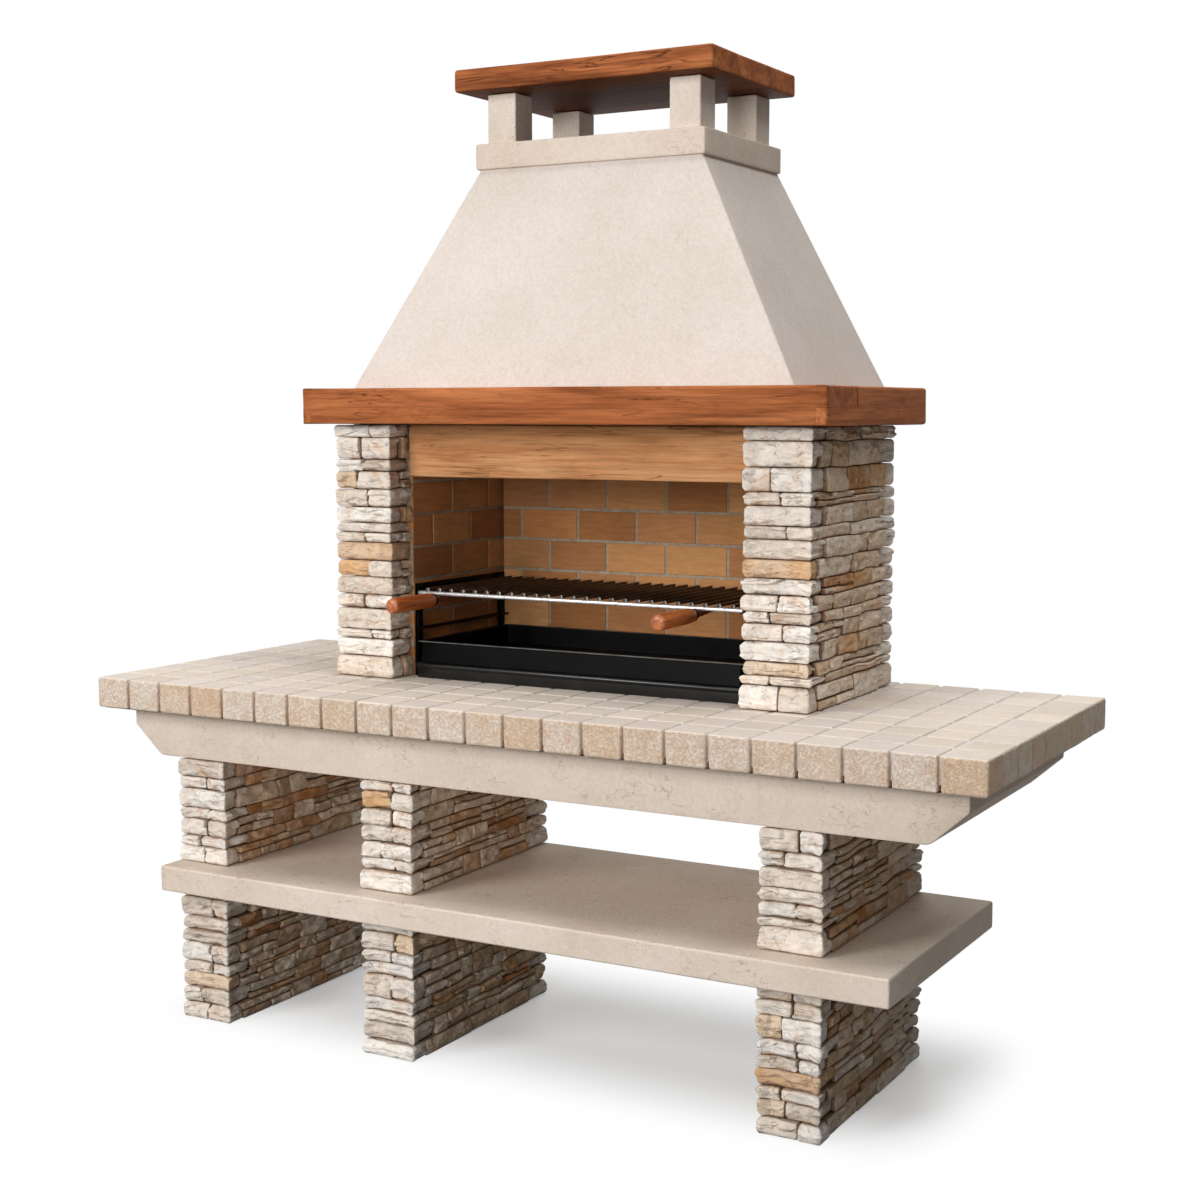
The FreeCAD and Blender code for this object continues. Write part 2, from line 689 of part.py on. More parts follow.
hood_outside = hood_wedge("PartDesign::AdditiveWedge", "smoke_hood_outside", "hood", "Places.back_face")
hood_throat = hood_wedge("PartDesign::SubtractiveWedge", "smoke_hood_throat", "throat", "Places.throat_back")
if hood_throat.Shape.Volume > HOLLOW_SHARE * hood_outside.Shape.Volume:
    raise RuntimeError("the hood wasn't hollowed")

# Collar with the flue opening, four posts and the cap
collar = keep(new_body("chimney_collar"))
collar_plan = sketch_on(collar, "plan", "XY_Plane", "Places.hood_top")
outline(collar_plan, rectangle("-Places.collar_half", "Places.collar_half",
                               "Places.collar_front", "Places.back_face"))
outline(collar_plan, rectangle("-Places.flue_half", "Places.flue_half",
                               "Places.flue_front", "Places.flue_back"))
pad(collar, collar_plan, "Sizes.collar_height")

for row in ("front", "rear"):
    for side in ("left", "right"):
        post_span = span(side, "Places.post_inner", "Places.post_outer")
        eased_block(f"chimney_{row}_{side}_post",
                    (*post_span, f"Places.{row}_post_front", f"Places.{row}_post_back"),
                    "Places.collar_top", "Sizes.post_height", "Sizes.slab_arris")
eased_block("chimney_cap", ("-Places.cap_half", "Places.cap_half", "Places.cap_front", "Places.back_face"),
            "Places.cap_bottom", "Sizes.cap_thickness", "Sizes.cap_arris")

# Guide frames: two posts, an angle rail for the grill and a spare flat rail, welded together
for side in ("left", "right"):
    post_west = span(side, "Places.guide_post_inner", "Places.guide_outer")[0]
    rail_west = span(side, "Places.rail_inner", "Places.guide_outer")[0]
    spare_west = span(side, "Places.spare_rail_inner", "Places.guide_outer")[0]
    upstand_west = span(side, "Places.upstand_inner", "Places.guide_outer")[0]
    post_lengths = ("Sizes.guide_post_thickness", "Sizes.guide_post_width", "Places.guide_height")
    frame = doc.addObject("Part::MultiFuse", f"{side}_guide_frame")
    frame.Shapes = [
        box(f"{side}_guide_front_post",
            (post_west, "Places.guide_front", "Places.worktop_top"), post_lengths),
        box(f"{side}_guide_rear_post",
            (post_west, "Places.rear_guide_post_front", "Places.worktop_top"), post_lengths),
        box(f"{side}_rail_leg", (rail_west, "Places.guide_front", "Places.rail_bottom"),
            ("Sizes.rail_leg", "Places.guide_length", "Sizes.rail_thickness")),
        box(f"{side}_rail_upstand", (upstand_west, "Places.guide_front", "Places.rail_bottom"),
            ("Sizes.rail_thickness", "Places.guide_length", "Sizes.rail_thickness + Sizes.rail_upstand")),
        box(f"{side}_spare_rail", (spare_west, "Places.guide_front", "Places.spare_rail_bottom"),
            ("Sizes.spare_rail_leg", "Places.guide_length", "Sizes.rail_thickness")),
    ]
    keep(frame)

# Stand of the ember tray, with a round bead along its front
stand = keep(new_body("tray_stand"))
stand_plan = sketch_on(stand, "plan", "XY_Plane", "Places.worktop_top")
outline(stand_plan, rectangle("-Places.stand_half", "Places.stand_half",
                              "Places.stand_front", "Places.stand_back"))
outline(stand_plan, rectangle("-Places.stand_inner_half", "Places.stand_inner_half",
                              "Places.stand_inner_front", "Places.stand_inner_back"))
pad(stand, stand_plan, "Sizes.stand_height")
bead = stand.newObject("PartDesign::AdditiveCylinder", "tray_stand_bead")
bead.AttachmentSupport = [(origin_plane(stand, "YZ_Plane"), "")]
bead.MapMode = "FlatFace"
for axis, cell in zip("xyz", ("Places.stand_front", "Places.bead_level", "-Places.stand_half")):
    bead.setExpression(f"AttachmentOffset.Base.{axis}", cell)
bead.setExpression("Radius", "Sizes.bead_radius")
bead.setExpression("Height", "Sizes.stand_length")

# Ember tray: folded sheet with a slightly leaning front and a turned-out rim
tray = keep(new_body("ember_tray"))
tray_profile = sketch_on(tray, "profile", "YZ_Plane", "-Places.tray_half")
outline(tray_profile, [("Places.tray_front", "Places.tray_bottom"),
                       ("Places.tray_back", "Places.tray_bottom"),
                       ("Places.tray_back", "Places.tray_top"), ("Places.tray_lip", "Places.tray_top")])
pad(tray, tray_profile, "Places.tray_width")
rim_plan = sketch_on(tray, "rim", "XY_Plane", "Places.rim_level")
outline(rim_plan, rectangle("-Places.rim_half", "Places.rim_half", "Places.rim_front", "Places.rim_back"))
rim_pad = pad(tray, rim_plan, "Sizes.tray_wall")
hollow = sketch_on(tray, "hollow", "YZ_Plane", "-Places.hollow_half")
outline(hollow, [("Places.hollow_front", "Places.tray_floor"), ("Places.hollow_back", "Places.tray_floor"),
                 ("Places.hollow_back", "Places.tray_mouth"), ("Places.hollow_lip", "Places.tray_mouth")])
tray_pocket = tray.newObject("PartDesign::Pocket", "ember_tray_hollow_cut")
tray_pocket.Profile = hollow
tray_pocket.Reversed = True
tray_pocket.setExpression("Length", "Places.hollow_width")
doc.recompute()
if tray_pocket.Shape.Volume > HOLLOW_SHARE * rim_pad.Shape.Volume:
    raise RuntimeError("the ember tray wasn't hollowed")

# Grill: round front bar, a square bar bent round the sides and rear, and rods across them
front_bar = keep(doc.addObject("Part::Cylinder", "grill_front_bar"))
front_bar.setExpression("Radius", "Sizes.frame_radius")
front_bar.setExpression("Height", "2 * Places.front_bar_half")
front_bar.Placement.Rotation = Rotation(Vector(0, 1, 0), 90)
for axis, cell in zip("xyz", ("-Places.front_bar_half", "Places.grill_front", "Places.frame_level")):
    front_bar.setExpression(f"Placement.Base.{axis}", cell)

grill_frame = keep(new_body("grill_frame"))
frame_plan = sketch_on(grill_frame, "plan", "XY_Plane", "Places.frame_bottom")
outline(frame_plan, [("-Places.front_bar_half", "Places.frame_front"),
                     ("-Places.frame_inner", "Places.frame_front"),
                     ("-Places.frame_inner", "Places.frame_rear_inner"),
                     ("Places.frame_inner", "Places.frame_rear_inner"),
                     ("Places.frame_inner", "Places.frame_front"),
                     ("Places.front_bar_half", "Places.frame_front"),
                     ("Places.front_bar_half", "Places.frame_rear_outer"),
                     ("-Places.front_bar_half", "Places.frame_rear_outer")])
bend_base = pad(grill_frame, frame_plan, "Places.frame_thickness")
for bend, bend_level, bend_radius in (
        ("outer", "Places.frame_rear_outer", "Sizes.frame_bend + Sizes.frame_radius"),
        ("inner", "Places.frame_rear_inner", "Sizes.frame_bend - Sizes.frame_radius")):
    bend_edges = []
    for number, edge in enumerate(bend_base.Shape.Edges, start=1):
        limits = edge.BoundBox
        upright = limits.ZLength > value("Sizes.frame_radius") and limits.XLength < NEAR
        if upright and abs(limits.YMin - value(bend_level)) < NEAR and limits.YLength < NEAR:
            bend_edges.append(f"Edge{number}")
    bend_fillet = grill_frame.newObject("PartDesign::Fillet", f"grill_frame_{bend}_bend")
    bend_fillet.Base = (bend_base, bend_edges)
    bend_fillet.setExpression("Radius", bend_radius)
    doc.recompute()
    bend_base = bend_fillet


# Rods that rest on the frame, their flats up, and stand a little proud of its front and rear
def grill_rods():
    pitch = value("Sizes.rod_pitch")
    radius = value("Sizes.rod_radius")
    each_side = int((value("Places.frame_inner") - radius) // pitch)
    overhang = value("Sizes.rod_overhang")
    front = value("Places.grill_front") - overhang
    length = value("Places.grill_back") + overhang - front
    half_step = math.pi / ROD_SIDES
    corner = radius / math.cos(half_step)
    angles = [half_step * (2 * number + 1) for number in range(ROD_SIDES + 1)]
    section = [Vector(corner * math.cos(angle), front, value("Places.rod_level") + corner * math.sin(angle))
               for angle in angles]
    rod = Part.Face(Part.makePolygon(section)).extrude(Vector(0, length, 0))
    return [rod.translated(Vector(number * pitch, 0, 0)) for number in range(-each_side, each_side + 1)]


solids_part("grill_rods", grill_rods())


def move_body(body, place):
    for axis, cell in zip("xyz", place):
        body.setExpression(f"Placement.Base.{axis}", cell)


# Turned piece with many flat sides that runs forward from its place
def turned(name, radius, length, place):
    body = new_body(name)
    prism = body.newObject("PartDesign::AdditivePrism", f"{name}_round")
    prism.AttachmentSupport = [(origin_plane(body, "XZ_Plane"), "")]
    prism.MapMode = "FlatFace"
    prism.Polygon = HANDLE_SIDES
    prism.setExpression("Circumradius", radius)
    prism.setExpression("Height", length)
    doc.recompute()
    move_body(body, place)
    return keep(body)


# Handles: a tapered neck welded under the front bar, a ferrule and a grip with an eased end
for side in ("left", "right"):
    handle_offset = f"Sizes.{side}_handle_offset"
    handle_x = span(side, handle_offset, handle_offset)[0]
    neck = keep(new_body(f"{side}_handle_neck"))
    wedge(neck, "PartDesign::AdditiveWedge", f"{side}_handle_neck_taper",
          {"Xmin": "-Places.neck_half", "Xmax": "Places.neck_half",
           "Zmin": "-Places.neck_half", "Zmax": "Places.neck_half",
           "X2min": "-Places.neck_tip_half", "X2max": "Places.neck_tip_half",
           "Z2min": "Places.neck_tip_bottom", "Z2max": "Places.neck_half",
           "Ymin": "Places.floor", "Ymax": "Sizes.neck_length"})
    move_body(neck, (handle_x, "Places.neck_front", "Places.handle_level"))
    turned(f"{side}_handle_ferrule", "Sizes.ferrule_radius", "Sizes.ferrule_length",
           (handle_x, "Places.neck_front", "Places.handle_level"))
    grip = turned(f"{side}_handle_grip", "Sizes.grip_radius", "Sizes.grip_length",
                  (handle_x, "Places.ferrule_front", "Places.handle_level"))
    round_grip = grip.Tip
    end_face = min(range(len(round_grip.Shape.Faces)),
                   key=lambda index: round_grip.Shape.Faces[index].CenterOfMass.y)
    dome = grip.newObject("PartDesign::Chamfer", f"{side}_handle_grip_dome")
    dome.Base = (round_grip, [f"Face{end_face + 1}"])
    dome.setExpression("Size", "Sizes.grip_round")

doc.recompute()

# Nothing is written unless every feature is sound
for item in doc.Objects:
    if "Invalid" in item.State or "Error" in item.State:
        raise RuntimeError(f"{item.Label} failed: {item.State}")
for piece in sub_parts:
    if piece.Shape.isNull() or not piece.Shape.isValid():
        raise RuntimeError(f"{piece.Label} has no valid shape")

os.makedirs("parts", exist_ok=True)
for piece in sub_parts:
    piece.Shape.exportStep(f"parts/{piece.Label}.step")
print(len(sub_parts), "sub-parts,", sum(len(piece.Shape.Solids) for piece in sub_parts), "solids")
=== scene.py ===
import math

import bpy
import numpy as np
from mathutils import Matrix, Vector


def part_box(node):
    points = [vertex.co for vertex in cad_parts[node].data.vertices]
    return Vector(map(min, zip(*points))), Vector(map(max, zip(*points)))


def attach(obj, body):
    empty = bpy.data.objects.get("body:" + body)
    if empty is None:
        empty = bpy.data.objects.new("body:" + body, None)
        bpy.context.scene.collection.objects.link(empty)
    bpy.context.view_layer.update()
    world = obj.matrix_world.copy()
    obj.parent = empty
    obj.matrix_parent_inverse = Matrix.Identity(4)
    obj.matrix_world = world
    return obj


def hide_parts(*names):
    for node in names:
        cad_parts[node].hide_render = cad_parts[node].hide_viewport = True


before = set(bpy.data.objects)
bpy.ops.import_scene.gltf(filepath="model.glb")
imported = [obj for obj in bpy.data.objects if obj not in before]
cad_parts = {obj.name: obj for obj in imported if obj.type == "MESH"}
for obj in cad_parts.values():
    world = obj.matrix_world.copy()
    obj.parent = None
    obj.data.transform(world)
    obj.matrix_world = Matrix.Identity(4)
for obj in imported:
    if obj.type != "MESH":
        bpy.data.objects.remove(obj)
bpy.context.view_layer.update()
print("frame loaded:", len(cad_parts), "nodes")


# tools for surfaces

def tone(red, green, blue):
    # screen colour, 0 to 255, as the linear colour that sockets take
    c = np.array([red, green, blue]) / 255.0
    linear = np.where(c <= 0.04045, c / 12.92, ((c + 0.055) / 1.055) ** 2.4)
    return (*[float(v) for v in linear], 1.0)


def chanceAt(cells, seed):
    # a fixed random value from 0 to 1 for each whole-number cell: its numbers multiplied, folded and mixed
    mixed = cells[..., 0] * 374761393 + cells[..., 1] * 668265263 + cells[..., 2] * 2147483647 + seed * 974634777
    mixed = mixed & 0xFFFFFFFF
    mixed = ((mixed ^ (mixed >> 13)) * 1274126177) & 0xFFFFFFFF
    mixed = ((mixed ^ (mixed >> 16)) * 2246822519) & 0xFFFFFFFF
    return (mixed & 0xFFFFFF) / float(0xFFFFFF)


def latticeNoise(points, seed=0):
    # random values on the whole-number lattice, blended with a smooth step between its corners
    base = np.floor(points).astype(np.int64)
    part = points - base
    part = part * part * (3 - 2 * part)
    total = np.zeros(len(points))
    for corner in np.ndindex(2, 2, 2):
        share = np.where(np.array(corner), part, 1 - part).prod(axis=1)
        total += chanceAt(base + np.array(corner), seed) * share
    return total


def scoops(across, up, seed):
    # hollows with sharp crests between them: one less the squared distance to the nearest of random spots, one in
    # each cell, where each spot has a lift of its own
    base = np.floor(np.stack([across, up, 0 * up], -1)).astype(np.int64)
    best = np.ones(across.shape)
    for right, above in np.ndindex(3, 3):
        cell = base + np.array([right - 1, above - 1, 0])
        awayAcross = across - cell[..., 0] - chanceAt(cell, seed)
        awayUp = up - cell[..., 1] - chanceAt(cell, seed + 1)
        best = np.minimum(best, awayAcross ** 2 + awayUp ** 2 + 0.4 * chanceAt(cell, seed + 2))
    return 1 - best


def putMesh(name, verts, quads, rings=(), sharpAngle=None, normals=None):
    # vertices, quads and end faces as one smooth mesh, with sharp edges past an angle or with normals of its own
    mesh = bpy.data.meshes.new(name)
    loops = np.concatenate([np.asarray(quads).ravel()] + [np.asarray(ring) for ring in rings]).astype(np.int32)
    sizes = np.array([4] * len(quads) + [len(ring) for ring in rings])
    starts = np.concatenate([[0], np.cumsum(sizes)[:-1]]).astype(np.int32)
    mesh.vertices.add(len(verts))
    mesh.vertices.foreach_set("co", np.asarray(verts, np.float32).ravel())
    mesh.loops.add(len(loops))
    mesh.loops.foreach_set("vertex_index", loops)
    mesh.polygons.add(len(sizes))
    mesh.polygons.foreach_set("loop_start", starts)
    mesh.update(calc_edges=True)
    mesh.validate()
    mesh.shade_smooth()
    if sharpAngle:
        mesh.set_sharp_from_angle(angle=math.radians(sharpAngle))
    if normals is not None:
        mesh.normals_split_custom_set_from_vertices(normals)
    return mesh


def place(name, shape, finish, body, slot, *nodes, tints=None, hollows=None, sharpAngle=None, normals=None):
    # shape: vertices, quads and end faces; tints: one colour for each vertex, the fourth number a random phase;
    # hollows: how deep each vertex lies
    mesh = putMesh(name, *shape, sharpAngle, normals)
    obj = bpy.data.objects.new(name, mesh)
    bpy.context.scene.collection.objects.link(obj)
    mesh.materials.append(finish)
    if tints is not None:
        layer = mesh.attributes.new("tint", "FLOAT_COLOR", "POINT")
        layer.data.foreach_set("color", np.asarray(tints, np.float32).ravel())
    if hollows is not None:
        layer = mesh.attributes.new("hollow", "FLOAT", "POINT")
        layer.data.foreach_set("value", np.asarray(hollows, np.float32))
    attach(obj, body)
    if nodes:
        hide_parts(*nodes)
    return obj


def dress(node, shape, finish, slot, body="masonry", **more):
    # a piece that stands for one node and has the node's name, with capitals in place of the low lines
    first, *others = node.split("_")
    return place(first + "".join(word.title() for word in others), shape, finish, body, slot, node, **more)


def corners(node):
    # a node's lowest and highest corners as arrays
    low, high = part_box(node)
    return np.array(low), np.array(high)


def eachPoint(values, verts):
    # one value for each block becomes one for each of its points
    return np.repeat(values, len(verts) // len(values), axis=0)


def solidBoxes(node):
    # corners of each loose solid in a node: vertices at one place are one, and the lowest label spreads
    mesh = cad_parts[node].data
    verts = np.empty(len(mesh.vertices) * 3)
    mesh.vertices.foreach_get("co", verts)
    verts = verts.reshape(-1, 3)
    mesh.calc_loop_triangles()
    tris = np.empty(len(mesh.loop_triangles) * 3, np.int32)
    mesh.loop_triangles.foreach_get("vertices", tris)
    _, same = np.unique(np.round(verts * 1e5).astype(np.int64), axis=0, return_inverse=True)
    tris = same.ravel()[tris].reshape(-1, 3)
    label = np.arange(same.max() + 1)
    while True:
        before = label.copy()
        np.minimum.at(label, tris.ravel(), np.repeat(label[tris].min(axis=1), 3))
        if (before == label).all():
            break
    _, solid = np.unique(label[same.ravel()], return_inverse=True)
    lows = np.full((solid.max() + 1, 3), np.inf)
    highs = -lows
    np.minimum.at(lows, solid, verts)
    np.maximum.at(highs, solid, verts)
    order = np.lexsort((lows[:, 0], lows[:, 1], np.round(lows[:, 2], 4)))
    return lows[order], highs[order]


def gridShell(cells):
    # outer vertices and quads of a block cut into cells along X, Y and Z
    nx, ny, nz = cells
    number = -np.ones((nx + 1, ny + 1, nz + 1), int)
    ijk = np.indices(number.shape).reshape(3, -1).T
    skin = ((ijk == 0) | (ijk == np.array(cells))).any(axis=1)
    number.reshape(-1)[skin] = np.arange(skin.sum())

    def sheet(a):
        return np.stack([a[:-1, :-1], a[1:, :-1], a[1:, 1:], a[:-1, 1:]], -1).reshape(-1, 4)

    quads = [sheet(number[:, :, nz]), sheet(number[:, :, 0])[:, ::-1], sheet(number[:, 0]),
             sheet(number[:, ny])[:, ::-1], sheet(number[nx]), sheet(number[0])[:, ::-1]]
    return ijk[skin], np.concatenate(quads)


def blockGrid(lows, highs, cells, ease):
    # each point keeps to a box with rounded edges: its nearest point on the inner box, plus the radius along
    # the way out
    ijk, quads = gridShell(cells)
    size = (highs - lows)[:, None, :]
    radius = np.minimum(np.broadcast_to(np.asarray(ease, float), (len(lows),)), 0.42 * size.min(axis=(1, 2)))
    radius = radius[:, None, None]
    count = np.array(cells)
    inner = radius + (ijk - 1) / np.maximum(count - 2, 1) * (size - 2 * radius)
    along = np.where(ijk == 0, 0.0, np.where(ijk == count, size, inner))
    points = lows[:, None, :] + along
    core = np.clip(points, lows[:, None, :] + radius, highs[:, None, :] - radius)
    out = points - core
    out /= np.maximum(np.linalg.norm(out, axis=2, keepdims=True), 1e-9)
    starts = np.arange(len(lows))[:, None, None] * len(ijk)
    return core + out * radius, out, (quads[None] + starts).reshape(-1, 4)


def noiseAt(points, grain, seed):
    # noise over an array of points, drawn out along the axes by the grain
    return latticeNoise((points / np.array(grain)).reshape(-1, 3), seed).reshape(points.shape[:-1])


def easedBlocks(lows, highs, cells, ease, relief=0.0, grain=(0.05, 0.05, 0.02), seed=0):
    # rounded boxes whose points sink along their way out, by noise at two sizes: a shape, and each point's way out
    lows, highs = np.atleast_2d(lows), np.atleast_2d(highs)
    points, out, quads = blockGrid(lows, highs, cells, ease)
    own = points + np.random.default_rng(seed).uniform(0, 90, (len(lows), 1, 3))
    rough = 0.62 * noiseAt(own, grain, seed) + 0.38 * noiseAt(own * 2.3, grain, seed + 7)
    points = points - out * (relief * rough)[:, :, None]
    return (points.reshape(-1, 3), quads, ()), out.reshape(-1, 3)


def smoothStep(value):
    # 0 to 1 with a soft start and end
    value = np.clip(value, 0, 1)
    return value * value * (3 - 2 * value)


def knockCorners(points, out, lows, highs, openFaces, radius):
    # an upright corner between two open faces becomes round: where a point's way from the corner's centre is longer
    # than the radius, it is cut to the radius
    for right, far in np.ndindex(2, 2):
        signs = np.where([right, far], 1.0, -1.0)
        corner = np.where([right, far], highs[:, :2], lows[:, :2])[:, None, :]
        centre = corner - signs * radius[:, None, None]
        way = np.maximum((points[:, :, :2] - centre) * signs, 0)
        length = np.linalg.norm(way, axis=2)
        both = (openFaces[:, 0, right] & openFaces[:, 1, far])[:, None]
        beyond = (both & (way.min(axis=2) > 0) & (length > radius[:, None]))[:, :, None]
        way = signs * way / np.maximum(length, 1e-9)[:, :, None]
        flat = np.linalg.norm(out[:, :, :2], axis=2, keepdims=True)
        points[:, :, :2] = np.where(beyond, centre + way * radius[:, None, None], points[:, :, :2])
        out[:, :, :2] = np.where(beyond, way * flat, out[:, :, :2])


# scoop and chip: length, height and share
chisel = {"scoop": (0.072, 0.024, 0.75), "chip": (0.026, 0.011, 0.22), "slant": 0.5, "tilt": (-0.5, 0.4),
          "ledges": 3, "ledgeRun": 0.055, "ledgePlace": (0.2, 0.8), "ledgeStep": (0.6, 1.15), "wave": 0.55,
          "waveGrain": (0.036, 0.036, 1), "fadeGrain": (0.06, 0.06, 1), "fadeRange": (3.4, 0.9), "deepest": 1.4,
          "knock": (0.006, 0.013), "bulgeRun": 0.0095, "reach": 0.04, "calmShare": 0.25, "calmRun": 0.03,
          "footShare": 0.25, "footFade": 0.04, "hollow": {"sink": 0.3, "joint": 0.85, "crease": 0.6, "floor": 0.2}}


def chiselledStones(lows, highs, openFaces, cells, ease, relief, bulge, draw, seed):
    # rounded boxes whose open faces sink by scoops at two sizes, a tilt, ledges (smooth steps at wavy levels that fade
    # in and out along the stone), less of each near upright corners and at the wall's foot, and a fall towards the
    # joints; the sink fades with the depth behind the face, and each point's hollow is 0 on the crests and 1 in joints
    points, out, quads = blockGrid(lows, highs, cells, ease)
    count = len(lows)
    size = highs - lows
    knockCorners(points, out, lows, highs, openFaces, draw.uniform(*chisel["knock"], count))
    own = points + draw.uniform(0, 90, (count, 1, 3))
    run, rise = own[:, :, 0] + own[:, :, 1], own[:, :, 2]
    level = own.copy()
    level[:, :, 2] = own[:, :1, 2]
    up = (points[:, :, 2] - lows[:, None, 2]) / size[:, None, 2]
    slant = draw.uniform(-chisel["slant"], chisel["slant"], (count, 1))
    long, tall, share = chisel["scoop"]
    sink = share * scoops(run / long, rise / tall + slant * run / long, seed)
    long, tall, share = chisel["chip"]
    sink += share * scoops(run / long, rise / tall - slant * run / long, seed + 3)
    sink += draw.uniform(*chisel["tilt"], (count, 1)) * up
    crease = np.zeros(up.shape)
    spread, start = chisel["fadeRange"]
    for ledge in range(chisel["ledges"]):
        wave = chisel["wave"] * (noiseAt(level + ledge * 7, chisel["waveGrain"], seed + 2) - 0.5)
        fade = smoothStep(noiseAt(level + ledge * 11, chisel["fadeGrain"], seed + 3) * spread - start)
        step = smoothStep((up - draw.uniform(*chisel["ledgePlace"], (count, 1)) - wave) / chisel["ledgeRun"] + 0.5)
        sink += draw.choice([-1, -1, 1], (count, 1)) * draw.uniform(*chisel["ledgeStep"], (count, 1)) * fade * step
        # the crease marks each ledge's step, where painted shade goes
        crease = np.maximum(crease, 4 * fade * step * (1 - step))
    sink -= sink.min(axis=1, keepdims=True)
    corner = np.ones(up.shape)
    for right, far in np.ndindex(2, 2):
        way = np.maximum(np.abs(points[:, :, 0] - (highs if right else lows)[:, None, 0]),
                         np.abs(points[:, :, 1] - (highs if far else lows)[:, None, 1]))
        both = (openFaces[:, 0, right] & openFaces[:, 1, far])[:, None]
        corner = np.where(both, np.minimum(corner, way), corner)
    foot = (points[:, :, 2] - lows[:, 2].min()) / chisel["footFade"]
    calm = chisel["calmShare"] + (1 - chisel["calmShare"]) * smoothStep(corner / chisel["calmRun"])
    calm *= chisel["footShare"] + (1 - chisel["footShare"]) * smoothStep(foot)
    edge = np.minimum(up, 1 - up) * size[:, None, 2] / chisel["bulgeRun"]
    sink = np.clip(sink, 0, chisel["deepest"]) * calm + bulge * (1 - smoothStep(edge))
    for axis, side in np.ndindex(2, 2):
        depth = np.abs(points[:, :, axis] - (highs if side else lows)[:, None, axis])
        share = np.clip(1 - depth / np.minimum(size[:, None, axis], chisel["reach"]), 0, 1)
        points[:, :, axis] += (1 - 2 * side) * openFaces[:, None, axis, side] * share * relief[:, None] * sink
    face = np.where(out[:, :, :2] < 0, openFaces[:, None, :, 0], openFaces[:, None, :, 1])
    inJoint = 1 - np.linalg.norm(face * out[:, :, :2], axis=2)
    # the hollow is the mask for painted shade, with some dirt, in the finish: deep scoops, joints and ledge steps
    shares = chisel["hollow"]
    hollow = shares["sink"] * sink + shares["joint"] * inJoint + shares["crease"] * crease - shares["floor"]
    return points.reshape(-1, 3), quads, np.clip(hollow, 0, 1).ravel()


courses = {"lift": 0.007, "slide": 0.014, "uneven": 0.022, "footLift": 0.016, "footRun": 0.12, "fade": 0.05,
           "endKeep": 0.02, "liftGrain": (1, 0.08, 0.055), "slideGrain": (1, 0.06, 0.045), "unevenGrain": (1, 1, 0.05)}


def wandering(verts, low, high, seed):
    # courses of uneven height, tallest at the foot, and side joints that wander: points shift up by noise over
    # the height and by a hump above the foot, and up and along by broad noise, each side of the wall by its own,
    # that fades out towards the wall's ends, its foot and its top
    deep = np.minimum(verts[:, 1] - low[1], high[1] - verts[:, 1])
    tall = smoothStep(np.minimum(verts[:, 2] - low[2], high[2] - verts[:, 2]) / courses["fade"])
    fade = tall * smoothStep((deep - courses["endKeep"]) / courses["fade"])
    spots = verts.copy()
    spots[:, 0] = 5 * np.sign(verts[:, 0] - (low[0] + high[0]) / 2)  # far apart, so that each side has its own noise
    lift = courses["lift"] * fade * (noiseAt(spots, courses["liftGrain"], seed + 5) - 0.5)
    slide = courses["slide"] * fade * (noiseAt(spots, courses["slideGrain"], seed + 6) - 0.5)
    lift += courses["uneven"] * tall * (noiseAt(spots * (0, 0, 1), courses["unevenGrain"], seed + 7) - 0.5)
    lift += courses["footLift"] * tall * (1 - smoothStep((verts[:, 2] - low[2]) / courses["footRun"]))
    return verts + np.stack([0 * fade, slide, lift], 1)


def roundedPath(path, ease, turns=3):
    # each inner corner becomes a quadratic curve that starts and ends one radius away from it
    path = np.asarray(path, float)
    rows = [path[:1]]
    share = np.linspace(0, 1, turns + 1)[:, None]
    for before, corner, after in zip(path[:-2], path[1:-1], path[2:]):
        start = corner + (before - corner) * min(0.5, ease / np.linalg.norm(before - corner))
        end = corner + (after - corner) * min(0.5, ease / np.linalg.norm(after - corner))
        rows.append((1 - share) ** 2 * start + 2 * share * (1 - share) * corner + share ** 2 * end)
    rows.append(path[-1:])
    rows = np.concatenate(rows)
    keep = np.concatenate([[True], np.linalg.norm(np.diff(rows, axis=0), axis=1) > 1e-7])
    return rows[keep]


def denser(path, step):
    # long straight stretches get rows in between
    rows = [path[:1]]
    for start, end in zip(path[:-1], path[1:]):
        parts = max(1, int(np.linalg.norm(end - start) / step))
        rows.append(start + (end - start) * (np.arange(1, parts + 1) / parts)[:, None])
    return np.concatenate(rows)


def tubeFaces(rows, count, closed=False):
    # quads between rows of points that each run round once, and the two end faces, which a closed ring doesn't have
    number = np.arange(rows * count).reshape(rows, count)
    lower, upper = (number, np.roll(number, -1, axis=0)) if closed else (number[:-1], number[1:])
    quads = np.stack([lower, np.roll(lower, -1, 1), np.roll(upper, -1, 1), upper], -1).reshape(-1, 4)
    return quads, [] if closed else [number[0][::-1], number[-1]]


